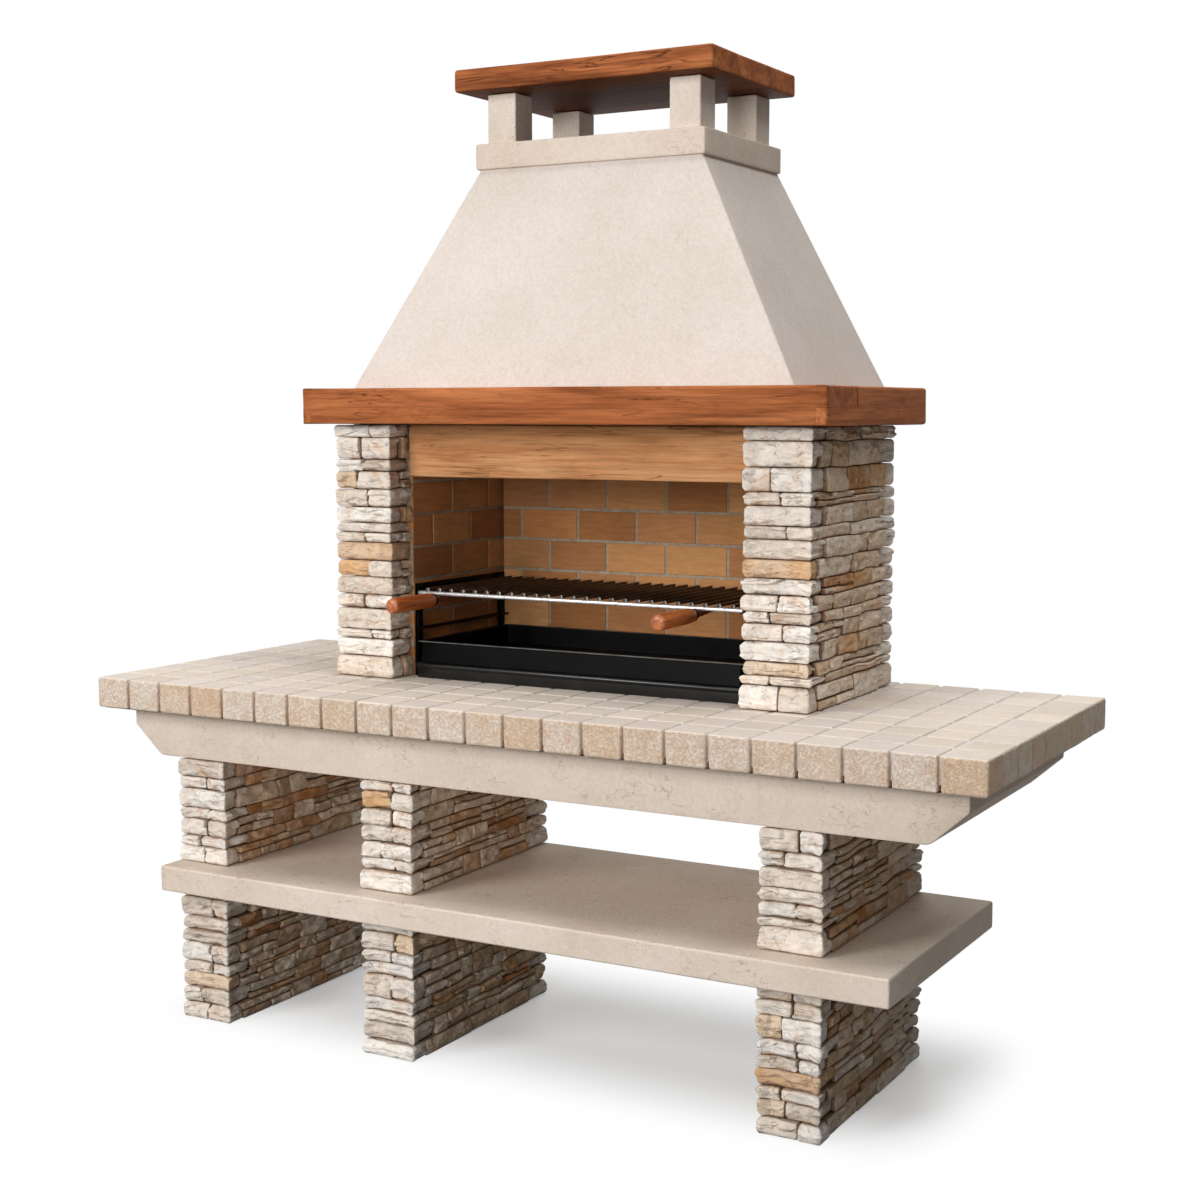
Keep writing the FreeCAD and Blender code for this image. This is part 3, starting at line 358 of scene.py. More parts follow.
def loft(path, corner, order=(0, 1, 2), closed=False, bend=3, side=1):
    # rows of rounded rectangles (low a, high a, low b, high b, height), joined row to row; order puts a, b and
    # height on the axes, and a closed loft joins its last row to its first as a hollow ring
    path = np.asarray(path, float)
    lowA, highA, lowB, highB, height = path.T[:, :, None]
    radius = np.minimum(corner, 0.45 * np.minimum(highA - lowA, highB - lowB))
    pieces = []
    for turn, (right, far) in enumerate(((0, 0), (1, 0), (1, 1), (0, 1))):
        angle = np.pi * (1 + turn / 2) + np.linspace(0, np.pi / 2, bend + 1)[None]
        midA = np.where(right, highA - radius, lowA + radius)
        midB = np.where(far, highB - radius, lowB + radius)
        pieces.append((midA + radius * np.cos(angle), midB + radius * np.sin(angle)))
    outline = []
    share = np.arange(1, side)[None] / side
    for (a, b), (nextA, nextB) in zip(pieces, pieces[1:] + pieces[:1]):
        outline.append((np.concatenate([a, a[:, -1:] + (nextA[:, :1] - a[:, -1:]) * share], 1),
                        np.concatenate([b, b[:, -1:] + (nextB[:, :1] - b[:, -1:]) * share], 1)))
    a = np.concatenate([piece[0] for piece in outline], 1)
    b = np.concatenate([piece[1] for piece in outline], 1)
    verts = np.empty((a.size, 3))
    for axis, values in zip(order, (a, b, np.broadcast_to(height, a.shape))):
        verts[:, axis] = values.ravel()
    return (verts, *tubeFaces(*a.shape, closed))


def inRow(low, high, inset, height):
    # one row of a loft: a box's section, set in on all four sides
    return (low[0] + inset, high[0] - inset, low[1] + inset, high[1] - inset, height)


def blockPath(low, high, start, end, ease):
    # a block of one section: the ends are set in by the easing
    rows = [inRow(low, high, inset, at) for inset, at in ((ease, start), (0, start), (0, end), (ease, end))]
    return roundedPath(rows, ease)


def turnedShape(profile, middle, turns=28, axis=1):
    # a profile of (radius, place) carried round a straight axis; the ends are closed
    radius, along = np.asarray(profile, float).T[:, :, None]
    angle = np.linspace(0, 2 * np.pi, turns, endpoint=False)
    verts = np.empty((len(radius), turns, 3))
    verts[:, :, axis] = along
    verts[:, :, (axis + 1) % 3] = radius * np.cos(angle)
    verts[:, :, (axis + 2) % 3] = radius * np.sin(angle)
    return ((verts + np.array(middle)).reshape(-1, 3), *tubeFaces(len(radius), turns))


def rodProfile(radius, length, ease):
    # a rod's profile: a quarter circle at one end, and the same mirrored at the other
    angle = np.linspace(0, np.pi / 2, 4)
    end = np.stack([radius - ease * (1 - np.sin(angle)), ease * (1 - np.cos(angle))], 1)
    return np.concatenate([end, np.stack([end[::-1, 0], length - end[::-1, 1]], 1)])


def flipped(verts, quads, rings):
    # the same shape with its faces turned to the other side
    return verts, quads[:, ::-1], [ring[::-1] for ring in rings]


def joined(*shapes):
    # several shapes as one set of vertices and faces
    verts, quads, rings, start = [], [], [], 0
    for shape in shapes:
        verts.append(shape[0])
        quads.append(shape[1] + start)
        rings += [np.asarray(ring) + start for ring in shape[2]]
        start += len(shape[0])
    return np.concatenate(verts), np.concatenate(quads), rings


def weathered(verts, low, high, depth, grain, seed):
    # points sink towards a box set well inside the piece, by noise drawn out along the grain
    inset = 0.3 * (high - low).min()
    out = verts - np.clip(verts, low + inset, high - inset)
    out /= np.maximum(np.linalg.norm(out, axis=1, keepdims=True), 1e-9)
    worn = depth * latticeNoise(verts / np.array(grain) + seed, seed)
    return verts - out * worn[:, None]


# finishes

def startFinish(name):
    # a new material with one shader on its output
    finish = bpy.data.materials.new(name)
    finish.use_nodes = True
    tree = finish.node_tree
    tree.nodes.clear()
    out = tree.nodes.new("ShaderNodeOutputMaterial")
    shader = tree.nodes.new("ShaderNodeBsdfPrincipled")
    tree.links.new(shader.outputs[0], out.inputs[0])
    return finish, tree, shader


def feed(tree, socket, value):
    # a link from a node, or a fixed value on the socket itself
    if isinstance(value, bpy.types.NodeSocket):
        tree.links.new(value, socket)
    else:
        socket.default_value = value


def complete(made, colour, normal, rough, mirror=0.5, metal=0.0):
    # the shader's own sockets, fed from nodes or set to fixed values
    finish, tree, shader = made
    for key, value in (("Base Color", colour), ("Normal", normal), ("Roughness", rough),
                       ("Specular IOR Level", mirror), ("Metallic", metal)):
        feed(tree, shader.inputs[key], value)
    return finish


def add(tree, kind, inputs=(), **settings):
    # one node with its settings and inputs
    made = tree.nodes.new(kind)
    for key, value in settings.items():
        setattr(made, key, value)
    for key, value in dict(inputs).items():
        feed(tree, made.inputs[key], value)
    return made


def attribute(tree, name):
    # a value that the mesh carries at its points
    return add(tree, "ShaderNodeAttribute", attribute_name=name)


def stretched(tree, points, scale):
    # points drawn out by a scale on each axis
    return add(tree, "ShaderNodeMapping", {"Vector": points, "Scale": scale}).outputs[0]


def objectPoints(tree, scale=(1, 1, 1)):
    # the piece's own coordinates, drawn out by a scale
    return stretched(tree, add(tree, "ShaderNodeTexCoord").outputs["Object"], scale)


def noise(tree, points, scale, detail=4.0, roughness=0.55, distortion=0.0):
    # cloudy values from 0 to 1: how many clouds to a metre, then how fine, rough and twisted they are
    return add(tree, "ShaderNodeTexNoise", {"Vector": points, "Scale": scale, "Detail": detail, "Roughness": roughness,
                                            "Distortion": distortion}).outputs[0]


def spotDistance(tree, points, scale):
    # how far a point is from the nearest of scattered spots
    return add(tree, "ShaderNodeTexVoronoi", {"Vector": points, "Scale": scale}).outputs["Distance"]


def ramp(tree, value, stops):
    # colours, or greys for plain numbers, at places from 0 to 1
    made = add(tree, "ShaderNodeValToRGB", {0: value})
    band = made.color_ramp
    while len(band.elements) < len(stops):
        band.elements.new(0.5)
    for element, (at, colour) in zip(band.elements, stops):
        element.position = at
        element.color = colour if not np.isscalar(colour) else (colour, colour, colour, 1)
    return made.outputs[0]


def blendColours(tree, share, first, second, way="MIX"):
    # the first colour goes over to the second by the share
    made = add(tree, "ShaderNodeMix", data_type="RGBA", blend_type=way)
    feed(tree, made.inputs[0], share)
    feed(tree, made.inputs[6], first)
    feed(tree, made.inputs[7], second)
    return made.outputs[2]


def math2(tree, way, first, second=0.5):
    # one step of sums on two numbers
    return add(tree, "ShaderNodeMath", {0: first, 1: second}, operation=way).outputs[0]


def times(tree, first, second):
    # two numbers multiplied
    return math2(tree, "MULTIPLY", first, second)


def vectors(tree, way, first, second=(0, 0, 0)):
    # one step of sums on two vectors
    return add(tree, "ShaderNodeVectorMath", {0: first, 1: second}, operation=way).outputs[0]


def tinted(tree, colour, where, share, other):
    # the colour goes over to another by a share of the mask
    return blendColours(tree, times(tree, where, share), colour, other)


def shaded(tree, colour, value, dark, light):
    # the colour times a grey that runs from one (place, grey) to another
    return blendColours(tree, 1.0, colour, ramp(tree, value, [dark, light]), "MULTIPLY")


def contour(tree, value, level, width):
    # 1 where the value crosses the level, down to 0 at the width to either side
    away = math2(tree, "ABSOLUTE", math2(tree, "SUBTRACT", value, level))
    return ramp(tree, away, [(0.0, 1.0), (width, 0.0)])


def bump(tree, height, strength, distance, before=None):
    # relief from a height, by a strength from 0 to 1 and a depth in metres, on top of an earlier one
    inputs = {"Height": height, "Strength": strength, "Distance": distance}
    if before:
        inputs["Normal"] = before
    return add(tree, "ShaderNodeBump", inputs).outputs[0]


def facingUp(tree):
    # how far a face looks up, from minus one to one
    normal = add(tree, "ShaderNodeNewGeometry").outputs["Normal"]
    return add(tree, "ShaderNodeSeparateXYZ", {0: normal}).outputs[2]


# the last, brown tone is painted shade, with some dirt, for the stones' hollows
splitTones = {"bloom": tone(216, 168, 120), "veil": tone(242, 235, 226), "crack": tone(150, 112, 80),
              "dirt": tone(128, 95, 67)}


def splitStoneFinish():
    # cream split stone: each stone's own tint, rust blooms, pale veils, chips of two sizes, thin wavy cracks in
    # places, and painted shade with some dirt in the hollows, joints and ledge steps
    made = startFinish("splitStone")
    tree = made[1]
    tint = attribute(tree, "tint")
    phase = tint.outputs["Alpha"]
    hollow = attribute(tree, "hollow").outputs["Fac"]
    points = objectPoints(tree)
    offset = add(tree, "ShaderNodeCombineXYZ", {0: times(tree, phase, 7.0), 1: times(tree, phase, 3.0)}).outputs[0]
    own = vectors(tree, "ADD", points, offset)
    sway = add(tree, "ShaderNodeTexNoise", {"Vector": own, "Scale": 30.0, "Detail": 2.0}).outputs[1]
    sway = add(tree, "ShaderNodeVectorMath", {0: sway, "Scale": 0.022}, operation="SCALE").outputs[0]
    layered = stretched(tree, vectors(tree, "ADD", own, sway), (1, 1, 2.2))
    chips = spotDistance(tree, layered, 23.0)
    flakes = spotDistance(tree, layered, 64.0)
    bloom = ramp(tree, noise(tree, own, 15.0, 4.0, 0.6, 0.8), [(0.52, 0.0), (0.62, 1.0)])
    bloom = times(tree, bloom, ramp(tree, hollow, [(0.02, 0.25), (0.4, 1.0)]))
    veil = ramp(tree, noise(tree, own, 10.0, 5.0, 0.6), [(0.4, 0.0), (0.66, 1.0)])
    torn = ramp(tree, noise(tree, own, 21.0, 2.0), [(0.46, 0.0), (0.54, 1.0)])
    cracks = times(tree, contour(tree, noise(tree, layered, 17.0, 3.0, 0.5, 0.6), 0.5, 0.014), torn)
    grain = noise(tree, own, 60.0, 4.0, 0.65)
    speck = noise(tree, points, 170.0, 3.0, 0.7)
    colour = tinted(tree, tint.outputs["Color"], bloom, 0.62, splitTones["bloom"])
    colour = tinted(tree, colour, veil, 0.4, splitTones["veil"])
    colour = tinted(tree, colour, cracks, 0.5, splitTones["crack"])
    colour = shaded(tree, colour, chips, (0.1, 0.9), (0.5, 1.03))
    colour = shaded(tree, colour, grain, (0.3, 0.9), (0.62, 1.04))
    colour = shaded(tree, colour, speck, (0.3, 0.93), (0.62, 1.03))
    # painted shade, with some dirt: a brown darkening by the hollow, strongest in joints, scoops and ledge steps
    dirt = ramp(tree, hollow, [(0.34, 0.0), (0.64, 0.28), (0.98, 0.72)])
    colour = blendColours(tree, dirt, colour, splitTones["dirt"])
    lumps = bump(tree, chips, 0.9, 0.01)
    lumps = bump(tree, times(tree, cracks, -1.0), 0.6, 0.003, lumps)
    lumps = bump(tree, flakes, 0.5, 0.003, lumps)
    lumps = bump(tree, grain, 0.4, 0.002, lumps)
    return complete(made, colour, bump(tree, speck, 0.2, 0.001, lumps), rough=0.9, mirror=0.08)


settTones = {"veil": tone(232, 223, 214), "pale": tone(238, 224, 209), "brown": tone(226, 197, 167),
             "patch": tone(212, 172, 134), "pit": tone(192, 150, 112)}


def settFinish():
    # tumbled travertine: smooth beige on top, brown worm-eaten pits on the upright faces, more on some setts
    made = startFinish("tumbledSett")
    tree = made[1]
    tint = attribute(tree, "tint")
    points = objectPoints(tree)
    upright = ramp(tree, math2(tree, "ABSOLUTE", facingUp(tree)), [(0.45, 1.0), (0.8, 0.0)])
    pits = ramp(tree, noise(tree, points, 165.0, 4.0, 0.65, 0.7), [(0.4, 1.0), (0.53, 0.0)])
    cloud = noise(tree, points, 9.0, 5.0, 0.6)
    veil = ramp(tree, cloud, [(0.35, 0.0), (0.7, 1.0)])
    patch = ramp(tree, noise(tree, points, 34.0, 4.0, 0.6, 0.4), [(0.46, 0.0), (0.64, 1.0)])
    fine = noise(tree, points, 140.0, 3.0, 0.7)
    stain = blendColours(tree, tint.outputs["Alpha"], settTones["pale"], settTones["brown"])
    stain = tinted(tree, stain, patch, 0.5, settTones["patch"])
    stain = tinted(tree, stain, pits, 0.34, settTones["pit"])
    colour = tinted(tree, tint.outputs["Color"], veil, 0.35, settTones["veil"])
    colour = tinted(tree, colour, upright, 0.85, stain)
    colour = shaded(tree, colour, fine, (0.3, 0.93), (0.65, 1.03))
    depth = times(tree, times(tree, pits, -1.0), upright)
    lumps = bump(tree, cloud, 0.3, 0.004, bump(tree, depth, 0.6, 0.003))
    return complete(made, colour, bump(tree, fine, 0.15, 0.001, lumps), rough=0.75, mirror=0.15)


castTones = {"stroke": tone(198, 177, 158), "mark": tone(168, 132, 100)}


def castStoneFinish(name, dark, middle, light, strokeShare, markShare, markSpread):
    # pale casting: soft clouds, a hammered grain of short bent strokes, brown dashes here and there, and fine grit
    made = startFinish(name)
    tree = made[1]
    points = objectPoints(tree)
    cloud = noise(tree, points, 4.0, 6.0, 0.62)
    worms = noise(tree, points, 46.0, 4.0, 0.6, 2.0)
    veins = noise(tree, objectPoints(tree, (1.0, 1.0, 1.9)), 15.0, 4.0, 0.55, 1.0)
    patches = ramp(tree, noise(tree, points, 12.0, 3.0), [(markSpread, 0.0), (markSpread + 0.06, 1.0)])
    marks = times(tree, contour(tree, veins, 0.48, 0.011), patches)
    fine = noise(tree, points, 110.0, 4.0, 0.7)
    colour = ramp(tree, cloud, [(0.3, dark), (0.5, middle), (0.72, light)])
    colour = tinted(tree, colour, contour(tree, worms, 0.5, 0.05), strokeShare, castTones["stroke"])
    colour = tinted(tree, colour, marks, markShare, castTones["mark"])
    colour = shaded(tree, colour, fine, (0.3, 0.94), (0.65, 1.03))
    lumps = bump(tree, worms, 0.3, 0.004)
    return complete(made, colour, bump(tree, fine, 0.2, 0.0014, lumps), rough=0.75, mirror=0.1)


def timberFinish(name, along, dark, middle, light, crackTone, ringShare, streakDark, gloss):
    # stained timber: growth rings as contour lines of a long noise, fibres, knots and checks along the grain;
    # painted shade, with some soot, on the faces that look down
    made = startFinish(name)
    tree = made[1]

    def drawnOut(length, across):
        return objectPoints(tree, tuple(length if axis == along else across for axis in range(3)))

    figure = noise(tree, drawnOut(1.1, 9.0), 1.6, 6.0, 0.62, 1.1)
    growth = noise(tree, drawnOut(0.8, 6.0), 1.5, 2.5, 0.5, 0.5)
    rings = math2(tree, "FRACT", times(tree, growth, 26.0))
    fibre = noise(tree, drawnOut(6.0, 190.0), 1.0, 4.0, 0.65)
    streak = noise(tree, drawnOut(2.4, 75.0), 1.0, 3.0, 0.6, 0.4)
    check = noise(tree, drawnOut(1.9, 34.0), 1.5, 3.0, 0.5, 0.7)
    where = ramp(tree, noise(tree, drawnOut(2.6, 11.0), 2.1, 2.0), [(0.5, 0.0), (0.57, 1.0)])
    cracks = times(tree, contour(tree, check, 0.5, 0.015), where)
    knots = ramp(tree, spotDistance(tree, drawnOut(2.2, 6.5), 1.0), [(0.04, 1.0), (0.14, 0.0)])
    # painted shade, with some soot: faces that look down go dark
    darkening = ramp(tree, times(tree, facingUp(tree), -1.0), [(0.6, 0.0), (0.9, 0.75)])
    shade = ramp(tree, rings, [(0.0, 0.8), (0.25, 1.02), (0.7, 1.06), (1.0, 0.8)])
    colour = ramp(tree, figure, [(0.3, dark), (0.5, middle), (0.68, light)])
    colour = blendColours(tree, ringShare, colour, shade, "MULTIPLY")
    colour = shaded(tree, colour, fibre, (0.3, 0.74), (0.6, 1.1))
    colour = shaded(tree, colour, streak, (0.34, streakDark), (0.5, 1.04))
    colour = tinted(tree, colour, knots, 0.6, crackTone)
    colour = tinted(tree, colour, cracks, 0.85, crackTone)
    colour = blendColours(tree, darkening, colour, crackTone)
    depth = math2(tree, "SUBTRACT", fibre, times(tree, cracks, 3.0))
    return complete(made, colour, bump(tree, depth, 0.35, 0.0014), rough=gloss, mirror=0.06)


brickSoot = tone(92, 62, 42)


def firebrickFinish():
    # sawn tan firebrick with faint drag lines and soot clouds
    made = startFinish("fireclayBrick")
    tree = made[1]
    points = objectPoints(tree)
    drag = noise(tree, objectPoints(tree, (1.0, 1.0, 7.0)), 16.0, 4.0, 0.6)
    darkening = ramp(tree, noise(tree, points, 6.0, 4.0), [(0.45, 0.0), (0.75, 1.0)])
    colour = shaded(tree, attribute(tree, "tint").outputs["Color"], drag, (0.3, 0.84), (0.66, 1.08))
    colour = tinted(tree, colour, darkening, 0.22, brickSoot)
    relief = bump(tree, noise(tree, points, 120.0, 3.0, 0.7), 0.3, 0.0014)
    return complete(made, colour, relief, rough=0.9, mirror=0.05)


def mortarFinish(name, dark, light):
    # two tones by one fine noise, which is also the relief
    made = startFinish(name)
    tree = made[1]
    grit = noise(tree, objectPoints(tree), 70.0, 5.0, 0.7)
    colour = ramp(tree, grit, [(0.3, dark), (0.68, light)])
    return complete(made, colour, bump(tree, grit, 0.4, 0.002), rough=0.94, mirror=0.05)


def steelFinish(name, dark, light, metal, gloss, smear, mirror=0.5):
    # worn metal: the tone and the gloss drift in soft smears
    made = startFinish(name)
    tree = made[1]
    points = objectPoints(tree)
    drift = noise(tree, points, smear, 5.0, 0.6)
    colour = ramp(tree, drift, [(0.3, dark), (0.7, light)])
    rough = ramp(tree, drift, [(0.3, gloss * 0.85), (0.7, min(1.0, gloss * 1.25))])
    grit = bump(tree, noise(tree, points, 220.0, 3.0, 0.7), 0.08, 0.0006)
    return complete(made, colour, grit, rough, mirror, metal)


handleTones = {"dark": tone(124, 60, 25), "middle": tone(180, 98, 46), "light": tone(208, 128, 70)}


def handleFinish():
    # varnished hardwood, the grain along the handle
    made = startFinish("handleWood")
    tree, shader = made[1:]
    streak = noise(tree, objectPoints(tree, (60.0, 5.0, 60.0)), 1.4, 4.0, 0.6, 0.6)
    colour = ramp(tree, streak, list(zip((0.3, 0.55, 0.75), handleTones.values())))
    shader.inputs["Coat Weight"].default_value = 0.15
    shader.inputs["Coat Roughness"].default_value = 0.18
    return complete(made, colour, bump(tree, streak, 0.12, 0.0008), rough=0.38)


stainTones = {"dark": tone(120, 63, 33), "middle": tone(170, 100, 58), "light": tone(192, 120, 74),
              "crackTone": tone(56, 28, 14), "ringShare": 0.5, "streakDark": 0.72, "gloss": 0.6}
paleTones = {"dark": tone(164, 106, 66), "middle": tone(196, 140, 94), "light": tone(212, 160, 114),
             "crackTone": tone(104, 64, 36), "ringShare": 0.25, "streakDark": 0.86, "gloss": 0.65}
splitStone = splitStoneFinish()
tumbledSett = settFinish()
hoodStone = castStoneFinish("hoodStone", tone(215, 203, 193), tone(220, 209, 200), tone(225, 215, 208),
                            strokeShare=0.34, markShare=0.4, markSpread=0.6)
chimneyStone = castStoneFinish("chimneyStone", tone(214, 197, 180), tone(226, 210, 195), tone(232, 218, 205),
                               strokeShare=0.3, markShare=0.6, markSpread=0.56)
# the posts' stone is the chimney stone made lighter: painted light against the shade under the cap
postStone = castStoneFinish("postStone", tone(226, 210, 194), tone(238, 224, 210), tone(244, 232, 220),
                            strokeShare=0.3, markShare=0.6, markSpread=0.56)
castStone = castStoneFinish("castStone", tone(217, 201, 184), tone(226, 211, 196), tone(232, 219, 205),
                            strokeShare=0.25, markShare=0.66, markSpread=0.51)
stainX = timberFinish("stainedTimberAlong", 0, **stainTones)
stainY = timberFinish("stainedTimberDeep", 1, **stainTones)
paleTimber = timberFinish("paleTimber", 0, **paleTones)
fireclayBrick = firebrickFinish()
darkMortar = mortarFinish("coreMortar", tone(72, 58, 44), tone(108, 90, 70))
greyMortar = mortarFinish("greyMortar", tone(146, 130, 110), tone(184, 166, 144))
paleGrout = mortarFinish("paleGrout", tone(206, 201, 194), tone(226, 222, 216))
blackSteel = steelFinish("blackSteel", tone(3, 3, 3), tone(7, 7, 7), metal=0.0, gloss=0.34, smear=14.0, mirror=0.06)
standSteel = steelFinish("standSteel", tone(7, 7, 7), tone(14, 14, 13), metal=0.0, gloss=0.24, smear=14.0, mirror=0.4)
# a lighter steel for the tray rim's edge: a painted highlight
wornSteel = steelFinish("wornSteel", tone(60, 60, 58), tone(112, 110, 106),
                        metal=0.2, gloss=0.4, smear=22.0, mirror=0.3)
# near-white, not metal: a painted highlight on the rod tips
tipSteel = steelFinish("tipSteel", tone(236, 236, 236), tone(250, 250, 250), metal=0.0, gloss=0.4, smear=60.0)
rodSteel = steelFinish("rodSteel", tone(50, 36, 26), tone(84, 62, 46), metal=0.6, gloss=0.5, smear=40.0)
neckSteel = steelFinish("neckSteel", tone(96, 44, 20), tone(140, 70, 36), metal=0.2, gloss=0.42, smear=30.0)
brightSteel = steelFinish("brightSteel", tone(196, 196, 196), tone(236, 236, 236), metal=0.7, gloss=0.28, smear=60.0)
handleWood = handleFinish()
print("finishes made")


# split stones on the piers and columns

stones = {"blockEase": (0.004, 0.0065), "sideEase": (0.003, 0.005), "blockRelief": (0.008, 0.013),
          "sideRelief": (0.0045, 0.0075), "blockBulge": 0.4, "sideBulge": 0.32, "blockCells": (24, 5, 15),
          "sideCells": (3, 12, 7), "layerChance": 0.5, "layerPlace": (0.38, 0.62), "cutChance": 0.5,
          "cutPlace": (0.36, 0.64), "columnCut": 0.45, "pierCut": 0.55, "gap": 0.0025, "spread": 0.0006, "pull": 0.005,
          "nearPlane": 0.012, "openPlane": 0.014, "wide": 0.08, "thin": 0.03, "shortest": 0.09,
          "lightDrift": (0.92, 1.06), "sharpAngle": 34, "columnSeed": 11, "pierSeed": 36}
frontTones = [(0.38, tone(240, 228, 215)), (0.28, tone(246, 239, 230)), (0.16, tone(231, 217, 201)),
              (0.08, tone(219, 205, 190)), (0.07, tone(231, 204, 172)), (0.03, tone(220, 178, 132))]
# side stones are darker and warmer than the fronts: partly their own tan, partly painted shade
sideTones = [(0.27, tone(231, 206, 179)), (0.22, tone(240, 222, 200)), (0.17, tone(214, 187, 154)),
             (0.13, tone(198, 170, 139)), (0.13, tone(211, 166, 119)), (0.08, tone(188, 135, 88))]


def stoneTints(draw, count, tones):
    # one tone for each stone by its chance, with a little drift of lightness and a random phase
    chances = np.array([chance for chance, _ in tones])
    picks = draw.choice(len(tones), count, p=chances / chances.sum())
    colours = np.array([colour for _, colour in tones])[picks]
    colours[:, :3] *= draw.uniform(*stones["lightDrift"], (count, 1))
    colours[:, 3] = draw.uniform(0, 1, count)
    return np.clip(colours, 0, 1)


def cut(low, high, axis, share):
    # one box becomes two along an axis, with the gap between them
    middle = low[axis] + (high[axis] - low[axis]) * share
    firstHigh, secondLow = high.copy(), low.copy()
    firstHigh[axis] = middle - stones["gap"] / 2
    secondLow[axis] = middle + stones["gap"] / 2
    return [(low, firstHigh), (secondLow, high)]


def smallerStones(draw, low, high, long, layerChance, cutChance):
    # some stones become two thin layers, and long ones are cut across
    layers, pieces = [(low, high)], []
    if high[2] - low[2] > stones["thin"] and draw.random() < layerChance:
        layers = cut(low, high, 2, draw.uniform(*stones["layerPlace"]))
    for layerLow, layerHigh in layers:
        if layerHigh[long] - layerLow[long] > stones["shortest"] and draw.random() < cutChance:
            pieces += cut(layerLow, layerHigh, long, draw.uniform(*stones["cutPlace"]))
        else:
            pieces.append((layerLow, layerHigh))
    return pieces


def stonePiece(node, seed, endCut):
    # blocks across the wall and stones along its sides, all brought out near the facing's own planes
    draw = np.random.default_rng(seed)
    lows, highs = solidBoxes(node)
    nodeLow, nodeHigh = lows.min(axis=0), highs.max(axis=0)
    near = stones["gap"] + stones["nearPlane"]
    blocks, sides = [], []
    for low, high in zip(lows - stones["spread"], highs + stones["spread"]):
        wide = high[0] - low[0] > stones["wide"]
        for axis in ((0, 1) if wide else (0,)):
            pull = draw.uniform(0, stones["pull"], 2)
            if low[axis] - nodeLow[axis] < near:
                low[axis] = nodeLow[axis] + pull[0]
            if nodeHigh[axis] - high[axis] < near:
                high[axis] = nodeHigh[axis] - pull[1]
        low[2], high[2] = max(low[2], nodeLow[2]), min(high[2], nodeHigh[2])
        if wide:
            blocks += smallerStones(draw, low, high, 0, 0.0, endCut)
        else:
            sides += smallerStones(draw, low, high, 1, stones["layerChance"], stones["cutChance"])
    shapes, tints, hollows = [], [], []
    for pieces, kind, tones in ((blocks, "block", frontTones), (sides, "side", sideTones)):
        starts = np.array([piece[0] for piece in pieces])
        ends = np.array([piece[1] for piece in pieces])
        openFaces = np.stack([starts - nodeLow, nodeHigh - ends], 2)[:, :2] < stones["openPlane"]
        ease = draw.uniform(*stones[f"{kind}Ease"], len(pieces))
        relief = draw.uniform(*stones[f"{kind}Relief"], len(pieces))
        verts, quads, hollow = chiselledStones(starts, ends, openFaces, stones[f"{kind}Cells"], ease, relief,
                                               stones[f"{kind}Bulge"], draw, seed)
        shapes.append((verts, quads, ()))
        hollows.append(hollow)
        tints.append(eachPoint(stoneTints(draw, len(pieces), tones), verts))
    verts, quads, rings = joined(*shapes)
    dress(node, (wandering(verts, nodeLow, nodeHigh, seed), quads, rings), splitStone, "ledgestone",
          tints=np.concatenate(tints), hollows=np.concatenate(hollows), sharpAngle=stones["sharpAngle"])
    return len(quads)


faceCount = 0
for number, side in enumerate(("left", "right")):
    faceCount += stonePiece(f"{side}_column_stones", stones["columnSeed"] + number, stones["columnCut"])
for number, pier in enumerate(("left", "middle", "right")):
    for tier in ("lower", "upper"):
        faceCount += stonePiece(f"{pier}_pier_{tier}_stones", stones["pierSeed"] + 3 * number, stones["pierCut"])
for node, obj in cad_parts.items():
    if node.endswith("_core"):
        obj.data.materials.clear()
        obj.data.materials.append(darkMortar)
print("split stones:", faceCount, "faces")


# worktop: setts with pale grout between them, on a mortar bed

setts = {"ease": 0.006, "easeDrift": (0.8, 1.2), "relief": 0.0012, "grain": (0.03, 0.03, 0.03), "cells": (4, 4, 4),
         "tone": tone(219, 206, 195), "lightDrift": (0.9, 1.06), "blueDrift": (0.93, 1.03), "stainPower": 1.5,
         "edgeSeed": 71, "fieldSeed": 72}
grout = {"inset": 0.011, "rise": 0.014, "drop": 0.0028, "cells": (40, 16, 3), "ease": 0.002, "relief": 0.0012,
         "grain": (0.05, 0.05, 0.05), "seed": 3}
bed = {"foot": 0.05, "edge": 0.004, "lip": 0.002, "corner": 0.004, "sharpAngle": 30}


def settPiece(name, node, seed):
    # eased blocks, each with an easing, a lightness and a share of stain of its own
    draw = np.random.default_rng(seed)
    lows, highs = solidBoxes(node)
    count = len(lows)
    ease = draw.uniform(*setts["easeDrift"], count) * setts["ease"]
    shape, out = easedBlocks(lows, highs, setts["cells"], ease, setts["relief"], setts["grain"], seed)
    colours = np.ones((count, 4))
    colours[:, :3] = np.array(setts["tone"])[:3] * draw.uniform(*setts["lightDrift"], (count, 1))
    colours[:, 2] *= draw.uniform(*setts["blueDrift"], count)
    colours[:, 3] = draw.uniform(0, 1, count) ** setts["stainPower"]
    place(name, shape, tumbledSett, "masonry", "sett", node, tints=eachPoint(colours, shape[0]), normals=out)


settPiece("edgeSetts", "worktop_edge_setts", setts["edgeSeed"])
settPiece("fieldSetts", "worktop_field_setts", setts["fieldSeed"])
low, high = corners("worktop_edge_setts")
groutLow = low + (grout["inset"], grout["inset"], grout["rise"])
groutHigh = high - (grout["inset"], grout["inset"], grout["drop"])
shape, _ = easedBlocks(groutLow, groutHigh, grout["cells"], grout["ease"], grout["relief"], grout["grain"],
                       grout["seed"])
place("settGrout", shape, paleGrout, "masonry", "mortar")
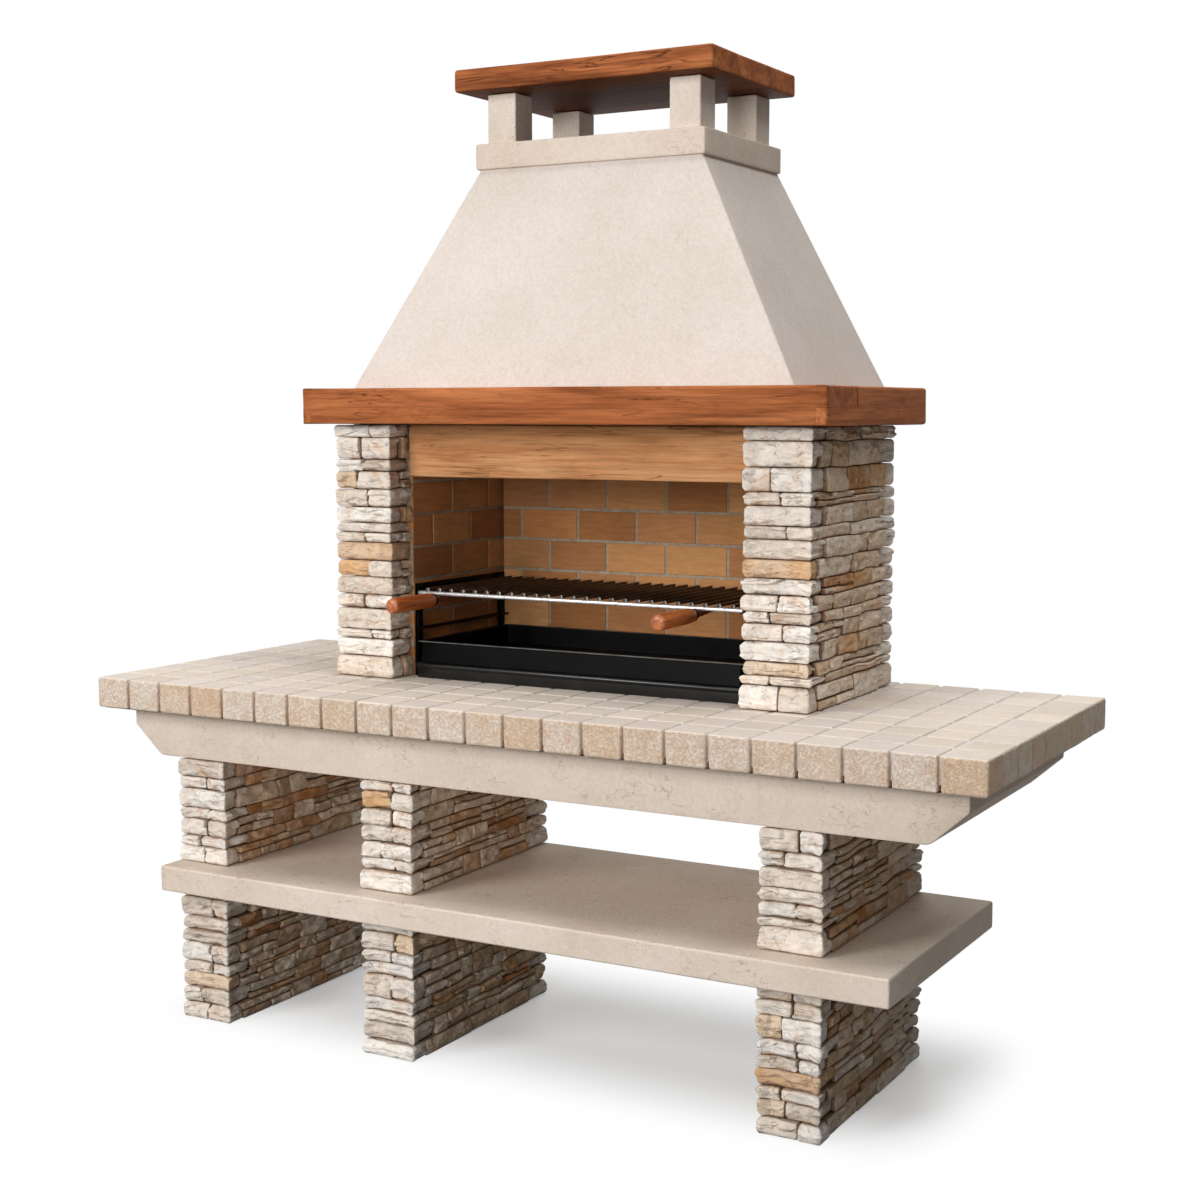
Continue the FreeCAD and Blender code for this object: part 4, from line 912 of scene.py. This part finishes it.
# the mortar bed narrows from the setts' underside down to the slab
low, high = corners("worktop_bed")
bedRows = [inRow(low, high, bed["foot"], low[2]), inRow(low, high, bed["edge"], high[2] - bed["lip"]),
           inRow(low, high, bed["edge"], high[2])]
dress("worktop_bed", loft(bedRows, bed["corner"], side=12), greyMortar, "mortar", sharpAngle=bed["sharpAngle"])
print("worktop laid")


# cast pieces: shelf, rear wall, posts, slab, hood and collar

cast = {"shelfEase": 0.006, "wallEase": 0.004, "postEase": 0.005, "slabEase": 0.004, "hoodEase": 0.005,
        "collarEase": 0.005, "step": 0.12, "uneven": 0.0014, "grain": (0.16, 0.16, 0.1), "sharpAngle": 40}


def castBlock(node, cells, ease, finish):
    # one eased block, a little uneven; the seed is the length of the node's name
    shape, out = easedBlocks(*corners(node), cells, ease, cast["uneven"], cast["grain"], len(node))
    dress(node, shape, finish, "concrete", normals=out)


castBlock("storage_shelf", (34, 12, 4), cast["shelfEase"], castStone)
castBlock("fire_back_wall", (16, 3, 10), cast["wallEase"], castStone)
for row in ("front", "rear"):
    for side in ("left", "right"):
        # the posts take the lighter stone: painted light
        castBlock(f"chimney_{row}_{side}_post", (5, 5, 6), cast["postEase"], postStone)

# slab: corbelled out at both ends, with a wide round at its foot
slab = {"reach": 0.083, "corbel": 0.074, "round": 0.018, "seed": 5, "sharpAngle": 35}
low, high = corners("support_slab")
ease = cast["slabEase"]
west, east = low[0] + slab["reach"], high[0] - slab["reach"]
slabRows = np.array([(west + slab["round"], east - slab["round"], low[1] + ease, high[1] - ease, low[2]),
                     (west, east, low[1], high[1], low[2]), inRow(low, high, 0, low[2] + slab["corbel"]),
                     inRow(low, high, 0, high[2]), inRow(low, high, ease, high[2])])
slabFoot = roundedPath(slabRows[:3], slab["round"], turns=5)
slabPath = np.concatenate([slabFoot[:-1], roundedPath(slabRows[1:], ease)[1:]])
verts, quads, rings = loft(slabPath, ease, side=24)
verts = weathered(verts, low, high, cast["uneven"], cast["grain"], slab["seed"])
dress("support_slab", (verts, quads, rings), castStone, "concrete", sharpAngle=slab["sharpAngle"])

# hood: up the outside, over the rim, down the inside
hood = {"wall": 0.045, "topHalf": 0.302, "topFront": 0.025}
low, high = corners("smoke_hood")
topLow, topHigh = (-hood["topHalf"], hood["topFront"]), (hood["topHalf"], high[1])
hoodRows = np.array([inRow(low, high, 0, low[2]), inRow(topLow, topHigh, 0, high[2]),
                     inRow(topLow, topHigh, hood["wall"], high[2]), inRow(low, high, hood["wall"], low[2])])
hoodPath = np.concatenate([denser(hoodRows[:2], cast["step"]), hoodRows[2:]])
hoodShape = loft(hoodPath, cast["hoodEase"], closed=True, side=10)
dress("smoke_hood", hoodShape, hoodStone, "concrete", sharpAngle=cast["sharpAngle"])

# collar: a plate with the flue's opening in its middle
flue = {"half": 0.19, "depth": 0.19}
low, high = corners("chimney_collar")
ease = cast["collarEase"]
flueFront = (low[1] + high[1] - flue["depth"]) / 2
flueLow, flueHigh = (-flue["half"], flueFront), (flue["half"], flueFront + flue["depth"])
collarRows = [inRow(low, high, ease, low[2]), inRow(low, high, 0, low[2]), inRow(low, high, 0, high[2]),
              inRow(flueLow, flueHigh, 0, high[2]), inRow(flueLow, flueHigh, 0, low[2])]
collarShape = loft(roundedPath(collarRows, ease), ease, closed=True, side=8)
dress("chimney_collar", collarShape, chimneyStone, "concrete", sharpAngle=cast["sharpAngle"])
print("cast pieces made")


# timber mantel, lintel and cap

beams = {"ease": 0.010, "capEase": 0.009, "lintelEase": 0.005, "corner": 0.007, "lapCorner": 0.001, "whole": 0.75,
         "step": 0.06, "worn": 0.0022, "grainAlong": 0.35, "grainAcross": 0.05, "sharpAngle": 50}
lap = {"width": 0.027, "height": 0.040, "gap": 0.0002, "clear": 0.0005}


def beam(node, axis, finish, slot="stained_timber", ease=beams["ease"], path=None):
    # a section carried along the beam, its corners rounder where it is whole than at a lap; order is the two section
    # axes, then the beam's own, and the seed is the number of letters in the node's name
    low, high = corners(node)
    order = ((axis + 1) % 3, (axis + 2) % 3, axis)
    section = list(order[:2])
    if path is None:
        path = blockPath(low[section], high[section], low[axis], high[axis], ease)
    rows = denser(path, beams["step"])
    sizes = np.stack([rows[:, 1] - rows[:, 0], rows[:, 3] - rows[:, 2]], 1)
    whole = (sizes > beams["whole"] * sizes.max(axis=0)).all(axis=1, keepdims=True)
    verts, quads, rings = loft(rows, np.where(whole, beams["corner"], beams["lapCorner"]), order, side=3)
    grain = [beams["grainAlong"] if other == axis else beams["grainAcross"] for other in range(3)]
    verts = weathered(verts, low, high, beams["worn"], grain, len(node.replace("_", "")))
    dress(node, (verts, quads, rings), finish, slot, sharpAngle=beams["sharpAngle"])


def frontPath():
    # the front beam's section from end to end: it is cut away below at both ends, over the side beams' tongues
    low, high = corners("mantel_front_beam")
    ease = beams["ease"]
    lapIn, lapUp = lap["width"] + lap["gap"], lap["height"] + lap["gap"]
    west, east = low[0] + lapIn, high[0] - lapIn

    def row(inset, lift, at):
        return (low[1] + inset, high[1] - inset, low[2] + lift, high[2] - inset, at)

    start = roundedPath([row(ease, lapUp, low[0]), row(0, lapUp, low[0]), row(0, lapUp, west)], ease)
    end = roundedPath([row(0, lapUp, east), row(0, lapUp, high[0]), row(ease, lapUp, high[0])], ease)
    return np.concatenate([start, [row(0, 0, west), row(0, 0, east)], end])


def sidePath(side):
    # a side beam's section: a low tongue at the outer face up to the front beam's back, then the whole section
    low, high = corners(f"mantel_{side}_beam")
    ease = beams["ease"]
    joint = corners("mantel_front_beam")[1][1] + lap["clear"]
    outer = high[0] if side == "right" else low[0]
    inner = outer - math.copysign(lap["width"], outer)

    def row(inset, at):
        return (low[2] + inset, high[2] - inset, low[0] + inset, high[0] - inset, at)

    def tongue(inset, at):
        return (low[2] + inset, low[2] + lap["height"], *sorted((inner, outer - math.copysign(inset, outer))), at)

    start = roundedPath([tongue(ease, low[1]), tongue(0, low[1]), tongue(0, joint)], ease)
    end = roundedPath([row(0, joint), row(0, high[1]), row(ease, high[1])], ease)
    return np.concatenate([start, end])


beam("mantel_front_beam", 0, stainX, path=frontPath())
beam("mantel_rear_beam", 0, stainX)
beam("chimney_cap", 0, stainX, ease=beams["capEase"])
beam("fire_lintel", 0, paleTimber, "pale_timber", beams["lintelEase"])
for side in ("left", "right"):
    beam(f"mantel_{side}_beam", 1, stainY, path=sidePath(side))
print("timber set")


# firebrick lining on grey mortar

lining = {"ease": 0.0026, "relief": 0.0012, "grain": (0.04, 0.04, 0.04), "grow": 0.001, "lightDrift": (0.8, 1.16),
          "seed": 5}
backing = {"joint": 0.0022, "ease": 0.001, "relief": 0.001, "grain": (0.05, 0.05, 0.05), "seed": 9}
brickTones = [tone(200, 144, 94), tone(188, 128, 80), tone(208, 152, 100), tone(184, 128, 84)]
for number, wall in enumerate(("back", "left", "right")):
    node = f"{wall}_firebricks"
    draw = np.random.default_rng(lining["seed"] + number)
    low, high = corners(node)
    lows, highs = solidBoxes(node)
    across = 1 if wall == "back" else 0  # the axis through the wall
    brickCells, backingCells = ((5, 3, 4), (12, 3, 10)) if wall == "back" else ((3, 5, 4), (3, 10, 10))
    grow = np.full(3, lining["grow"])
    grow[across] = 0
    shape, out = easedBlocks(np.maximum(lows - grow, low), np.minimum(highs + grow, high), brickCells, lining["ease"],
                             lining["relief"], lining["grain"], number)
    colours = np.ones((len(lows), 4))
    colours[:, :3] = np.array(brickTones)[draw.integers(len(brickTones), size=len(lows)), :3]
    colours[:, :3] *= draw.uniform(*lining["lightDrift"], (len(lows), 1))
    dress(node, shape, fireclayBrick, "firebrick", tints=eachPoint(colours, shape[0]), normals=out)
    if wall == "left":
        high[across] -= backing["joint"]
    else:
        low[across] += backing["joint"]
    shape, _ = easedBlocks(low, high, backingCells, backing["ease"], backing["relief"], backing["grain"],
                           backing["seed"])
    place(f"{wall}Mortar", shape, greyMortar, "masonry", "mortar")
print("lining laid")


# black steel: guide frames, stand and ember tray

steel = {"ease": 0.0008, "corner": 0.0012, "beadRadius": 0.007, "beadEase": 0.002, "bar": 0.025, "sheet": 0.003,
         "rim": 0.008, "lean": 0.008}
guide = {"postWidth": 0.02, "postThick": 0.01, "leg": 0.04, "spareLeg": 0.024, "thick": 0.004, "upstand": 0.025,
         "spareLevel": 0.122}
for side in ("left", "right"):
    node = f"{side}_guide_frame"
    low, high = corners(node)
    railTop, spareTop = high[2] - guide["upstand"], low[2] + guide["spareLevel"]
    # how far in from the outer face, front, back, bottom and top: two posts, the rail's leg and upstand, and the
    # spare rail
    bars = np.array([(guide["postThick"], low[1], low[1] + guide["postWidth"], low[2], high[2]),
                     (guide["postThick"], high[1] - guide["postWidth"], high[1], low[2], high[2]),
                     (guide["leg"], low[1], high[1], railTop - guide["thick"], railTop),
                     (guide["thick"], low[1], high[1], railTop - guide["thick"], high[2]),
                     (guide["spareLeg"], low[1], high[1], spareTop - guide["thick"], spareTop)])
    outer, sign = (high[0], 1) if side == "right" else (low[0], -1)
    inner = outer - sign * bars[:, 0]
    lows = np.stack([np.minimum(outer, inner), bars[:, 1], bars[:, 3]], 1)
    highs = np.stack([np.maximum(outer, inner), bars[:, 2], bars[:, 4]], 1)
    shape, _ = easedBlocks(lows, highs, (3, 3, 3), steel["ease"])
    dress(node, shape, blackSteel, "black_steel", sharpAngle=50)

# stand: a flat ring, with a round bead along its front
low, high = corners("tray_stand")
ease, bar, radius = steel["ease"], steel["bar"], steel["beadRadius"]
ringLow = (low[0], low[1] + radius)
standRows = [inRow(ringLow, high, ease, low[2]), inRow(ringLow, high, 0, low[2]), inRow(ringLow, high, 0, high[2]),
             inRow(ringLow, high, bar, high[2]), inRow(ringLow, high, bar, low[2])]
ring = loft(roundedPath(standRows, ease), steel["corner"], closed=True)
beadProfile = rodProfile(radius, high[0] - low[0], steel["beadEase"])
bead = turnedShape(beadProfile, (*ringLow, high[2] - radius), turns=16, axis=0)
dress("tray_stand", joined(ring, bead), standSteel, "black_steel", sharpAngle=45)

# tray: up the outside, round the rim, down the inside; its front leans back from foot to rim
low, high = corners("ember_tray")
sheet, rim, lean = steel["sheet"], steel["rim"], steel["lean"]
rise = lean / (high[2] - low[2])
tilt = sheet * math.hypot(1, rise)  # the leaning sheet's thickness, measured level
lip = low[1] + rim
outerLow, outerHigh = (low[0] + rim, lip - lean), (high[0] - rim, high[1] - rim)
innerLow = (outerLow[0] + sheet, outerLow[1] + tilt + rise * sheet)
innerHigh = (outerHigh[0] - sheet, outerHigh[1] - sheet)
trayRows = [inRow(outerLow, outerHigh, ease, low[2]), inRow(outerLow, outerHigh, 0, low[2]),
            inRow((outerLow[0], lip - rise * sheet), outerHigh, 0, high[2] - sheet),
            inRow(low, high, 0, high[2] - sheet), inRow(low, high, 0, high[2]),
            inRow((innerLow[0], lip + tilt), innerHigh, 0, high[2]),
            inRow(innerLow, innerHigh, 0, low[2] + sheet), inRow(innerLow, innerHigh, ease, low[2] + sheet)]
verts, quads, rings = loft(roundedPath(trayRows, ease), steel["corner"])
tray = dress("ember_tray", (verts, quads, rings), blackSteel, "black_steel", "ember_tray", sharpAngle=40)
# the rim's outer edge gets a lighter steel: a painted highlight
heights = verts[quads][:, :, 2]
edge = (heights.min(axis=1) > high[2] - sheet - 1e-4) & (heights.max(axis=1) < high[2] - ease / 3)
tray.data.materials.append(wornSteel)
tray.data.polygons.foreach_set("material_index", np.concatenate([edge, np.zeros(len(rings))]).astype(np.int32))
print("steel made")


# grill with its rods and handles

grill = {"barEase": 0.0015, "bend": 0.025, "frameSides": 12, "rodEase": 0.001, "rodSides": 10, "tipHalf": 0.0058,
         "tipHigh": 0.0042, "tipLong": 0.010, "tipCut": 0.12, "rearTip": (0.8, 0.6, 0.8)}
low, high = corners("grill_front_bar")
middle = (low + high) / 2
barProfile = rodProfile((high[2] - low[2]) / 2, high[0] - low[0], grill["barEase"])
frontBar = turnedShape(barProfile, (low[0], middle[1], middle[2]), turns=20, axis=0)
dress("grill_front_bar", frontBar, brightSteel, "bright_steel", "grill", sharpAngle=50)

# frame: a round bar carried along a bent line, out by the cosine across it, up by the sine
low, high = corners("grill_frame")
radius, bend, count = (high[2] - low[2]) / 2, grill["bend"], grill["frameSides"]
half, rear = high[0] - radius, high[1] - radius
turn = np.linspace(0, np.pi / 2, 7)
arc = np.stack([half - bend + bend * np.cos(turn), rear - bend + bend * np.sin(turn)], 1)
line = np.concatenate([[(half, low[1])], arc, arc[::-1] * (-1, 1), [(-half, low[1])]])
along = np.gradient(line, axis=0)
along /= np.linalg.norm(along, axis=1, keepdims=True)
across = np.stack([along[:, 1], -along[:, 0]], 1)
angle = np.linspace(0, 2 * np.pi, count, endpoint=False)
verts = np.empty((len(line), count, 3))
verts[:, :, :2] = line[:, None, :] + across[:, None, :] * (radius * np.cos(angle))[None, :, None]
verts[:, :, 2] = (low[2] + high[2]) / 2 + radius * np.sin(angle)
tube = flipped(verts.reshape(-1, 3), *tubeFaces(len(line), count))
dress("grill_frame", tube, rodSteel, "dark_steel", "grill", sharpAngle=50)

# rods with flat round tips, smaller ones at the rear; the tips' near-white steel is a painted highlight
lows, highs = solidBoxes("grill_rods")
_, length, width = highs[0] - lows[0]
radius, ease, tipLong = width / 2, grill["rodEase"], grill["tipLong"]
rodEnds = [(radius - ease, 0.0), (radius, ease), (radius, length - ease), (radius - ease, length)]
rod = turnedShape(rodEnds, (0, 0, 0), turns=grill["rodSides"])
turn = np.linspace(grill["tipCut"], np.pi - grill["tipCut"], 6)
tip = turnedShape(np.stack([np.sin(turn), -np.cos(turn)], 1), (0, 0, 0), turns=grill["rodSides"])
tipVerts = tip[0] * (grill["tipHalf"], tipLong / 2, grill["tipHigh"])
rods, tips = [], []
for low, high in zip(lows, highs):
    middle = (low + high) / 2
    rods.append((rod[0] + (middle[0], low[1], middle[2]), *rod[1:]))
    tips.append((tipVerts + (middle[0], low[1] + tipLong / 2, middle[2]), *tip[1:]))
    tips.append((tipVerts * grill["rearTip"] + (middle[0], high[1] - tipLong / 3, middle[2]), *tip[1:]))
dress("grill_rods", joined(*rods), rodSteel, "dark_steel", "grill", sharpAngle=60)
place("grillRodTips", joined(*tips), tipSteel, "grill", "bright_steel")

# handles; grip: share of the length and of the radius; ferrule: how far under the radius, and the place from each end
grip = {"profile": [(0.0, 0.78), (0.03, 0.86), (0.12, 0.93), (0.35, 0.97), (0.7, 1.0), (0.9, 1.0), (0.95, 0.98),
                    (0.98, 0.9), (0.995, 0.74), (1.0, 0.4)]}
ferrule = {"rear": [(0.0015, 0.0), (0.0, 0.0015), (0.001, 0.0045), (0.0, 0.0075)],
           "front": [(0.001, 0.0008), (0.002, 0.0)]}
neck = {"tipHalf": 0.004, "tipHigh": 0.008, "ease": 0.002, "step": 0.02, "corner": 0.006}
handleAngle = 60  # edges past this angle stay sharp
for side in ("left", "right"):
    low, high = corners(f"{side}_handle_grip")
    middle = (low + high) / 2
    shares, radii = np.array(grip["profile"]).T
    spots = np.concatenate([np.linspace(0, 0.9, 22), np.linspace(0.91, 1.0, 14)])
    profile = np.stack([np.interp(spots, shares, radii) * (high[2] - low[2]) / 2, -spots * (high[1] - low[1])], 1)
    shape = flipped(*turnedShape(profile, (middle[0], high[1], middle[2]), turns=32))
    dress(f"{side}_handle_grip", shape, handleWood, "handle_wood", "grill", sharpAngle=handleAngle)
    low, high = corners(f"{side}_handle_ferrule")
    middle = (low + high) / 2
    radius, length = (high[2] - low[2]) / 2, high[1] - low[1]
    profile = [(radius - under, at) for under, at in ferrule["rear"]]
    profile += [(radius - under, length - at) for under, at in ferrule["front"]]
    shape = turnedShape(profile, (middle[0], low[1], middle[2]))
    dress(f"{side}_handle_ferrule", shape, blackSteel, "black_steel", "grill", sharpAngle=handleAngle)
    low, high = corners(f"{side}_handle_neck")
    centre = (low[0] + high[0]) / 2
    rootLow, rootHigh = (low[2], low[0]), (high[2], high[0])
    tipLow, tipHigh = (high[2] - neck["tipHigh"], centre - neck["tipHalf"]), (high[2], centre + neck["tipHalf"])
    neckRows = [inRow(rootLow, rootHigh, neck["ease"], low[1]), inRow(rootLow, rootHigh, 0, low[1]),
                inRow(tipLow, tipHigh, 0, high[1]), inRow(tipLow, tipHigh, neck["ease"], high[1])]
    neckPath = denser(roundedPath(neckRows, neck["ease"]), neck["step"])
    shape = loft(neckPath, neck["corner"], (2, 0, 1), bend=4)
    dress(f"{side}_handle_neck", shape, neckSteel, "dark_steel", "grill", sharpAngle=handleAngle)
print("grill made")


# floor, light and camera

stage = {"ambient": 0.14, "bounce": 0.2, "floorHalf": 14.0, "floorDrop": 0.001, "shadowLift": 0.3,
         "shadowCentre": (-0.03, 0.045, 0.0), "shadowHalf": (0.88, 0.105, 0.0), "shadowFade": (0.22, 0.43, 1.0)}
lamps = {"keyLight": {"place": (-2.6, -5.6, 3.3), "size": 2.4, "power": 215.0, "aim": (0, 0, 1.1)},
         "fillLight": {"place": (3.0, -0.9, 6.4), "size": 2.6, "power": 106.0, "aim": (0, 0, 1.1)},
         "frontLight": {"place": (0.6, -6.2, 1.9), "size": 2.0, "power": 125.0, "aim": (0, 0, 1.1)},
         "topLight": {"place": (0.2, -0.5, 7.2), "size": 4.0, "power": 158.0, "aim": (0, 0, 0)},
         "backLight": {"place": (-1.4, 5.0, 5.2), "size": 2.6, "power": 105.0, "aim": (0, 0, 1.1)}}
camera = {"place": (2.200, -3.863, 1.528), "yaw": 29.14, "pitch": 5.83, "lens": 55.54, "sensor": 36.0, "reach": 100}


def seenRays(tree):
    # 1 for what the camera sees, straight, mirrored or through glass, and 0 for light that bounces
    rays = add(tree, "ShaderNodeLightPath").outputs
    mirrored = math2(tree, "MAXIMUM", rays["Is Glossy Ray"], rays["Is Transmission Ray"])
    return math2(tree, "MAXIMUM", rays["Is Camera Ray"], mirrored)


white = (1, 1, 1, 1)
half = stage["floorHalf"]
floorVerts = [(-half, -half, 0), (half, -half, 0), (half, half, 0), (-half, half, 0)]
floorMesh = putMesh("floor", floorVerts, [(0, 1, 2, 3)])
floor = bpy.data.objects.new("floor", floorMesh)
floor.location = (0, 0, -stage["floorDrop"])
bpy.context.scene.collection.objects.link(floor)
floorFinish, tree, shader = startFinish("paleFloor")
seen = seenRays(tree)
bounce = stage["bounce"]
pale = blendColours(tree, seen, (bounce, bounce, bounce, 1), white)
for key, value in (("Base Color", pale), ("Roughness", 0.9), ("Specular IOR Level", 0.0)):
    feed(tree, shader.inputs[key], value)
# the floor fades to white away from the shadow: how far a point lies outside the shadow's box, over the fade
spread = vectors(tree, "ABSOLUTE", vectors(tree, "SUBTRACT", objectPoints(tree), stage["shadowCentre"]))
spread = vectors(tree, "MAXIMUM", vectors(tree, "SUBTRACT", spread, stage["shadowHalf"]))
spread = vectors(tree, "DIVIDE", spread, stage["shadowFade"])
distance = add(tree, "ShaderNodeVectorMath", {0: spread}, operation="LENGTH").outputs["Value"]
far = add(tree, "ShaderNodeMapRange", {"Value": distance, "To Min": stage["shadowLift"], "To Max": 1.0},
          interpolation_type="SMOOTHSTEP").outputs[0]
glow = add(tree, "ShaderNodeEmission", {"Color": white, "Strength": 1.0})
lifted = add(tree, "ShaderNodeMixShader", {0: times(tree, seen, far), 1: shader.outputs[0], 2: glow.outputs[0]})
tree.links.new(lifted.outputs[0], tree.nodes["Material Output"].inputs[0])
floorMesh.materials.append(floorFinish)

world = bpy.data.worlds.new("studio")
bpy.context.scene.world = world
world.use_nodes = True
tree = world.node_tree
tree.nodes.clear()
dim = add(tree, "ShaderNodeBackground", {"Color": (1.0, 0.98, 0.96, 1), "Strength": stage["ambient"]})
bright = add(tree, "ShaderNodeBackground", {"Color": white, "Strength": 1.0})
both = add(tree, "ShaderNodeMixShader", {0: seenRays(tree), 1: dim.outputs[0], 2: bright.outputs[0]})
tree.links.new(both.outputs[0], add(tree, "ShaderNodeOutputWorld").inputs[0])

for name, lamp in lamps.items():
    data = bpy.data.lights.new(name, "AREA")
    data.size = lamp["size"]
    data.energy = lamp["power"]
    obj = bpy.data.objects.new(name, data)
    bpy.context.scene.collection.objects.link(obj)
    x, y, z = np.array(lamp["aim"]) - np.array(lamp["place"])
    obj.location = lamp["place"]
    obj.rotation_euler = (math.atan2(math.hypot(x, y), -z), 0, math.atan2(y, x) - math.pi / 2)

lens = bpy.data.cameras.new("photoCamera")
lens.lens = camera["lens"]
lens.sensor_width = camera["sensor"]
lens.clip_end = camera["reach"]
view = bpy.data.objects.new("photoCamera", lens)
view.location = camera["place"]
view.rotation_euler = (math.radians(90 - camera["pitch"]), 0, math.radians(camera["yaw"]))
bpy.context.scene.collection.objects.link(view)
bpy.context.scene.camera = view
bpy.context.scene.view_settings.view_transform = "Standard"
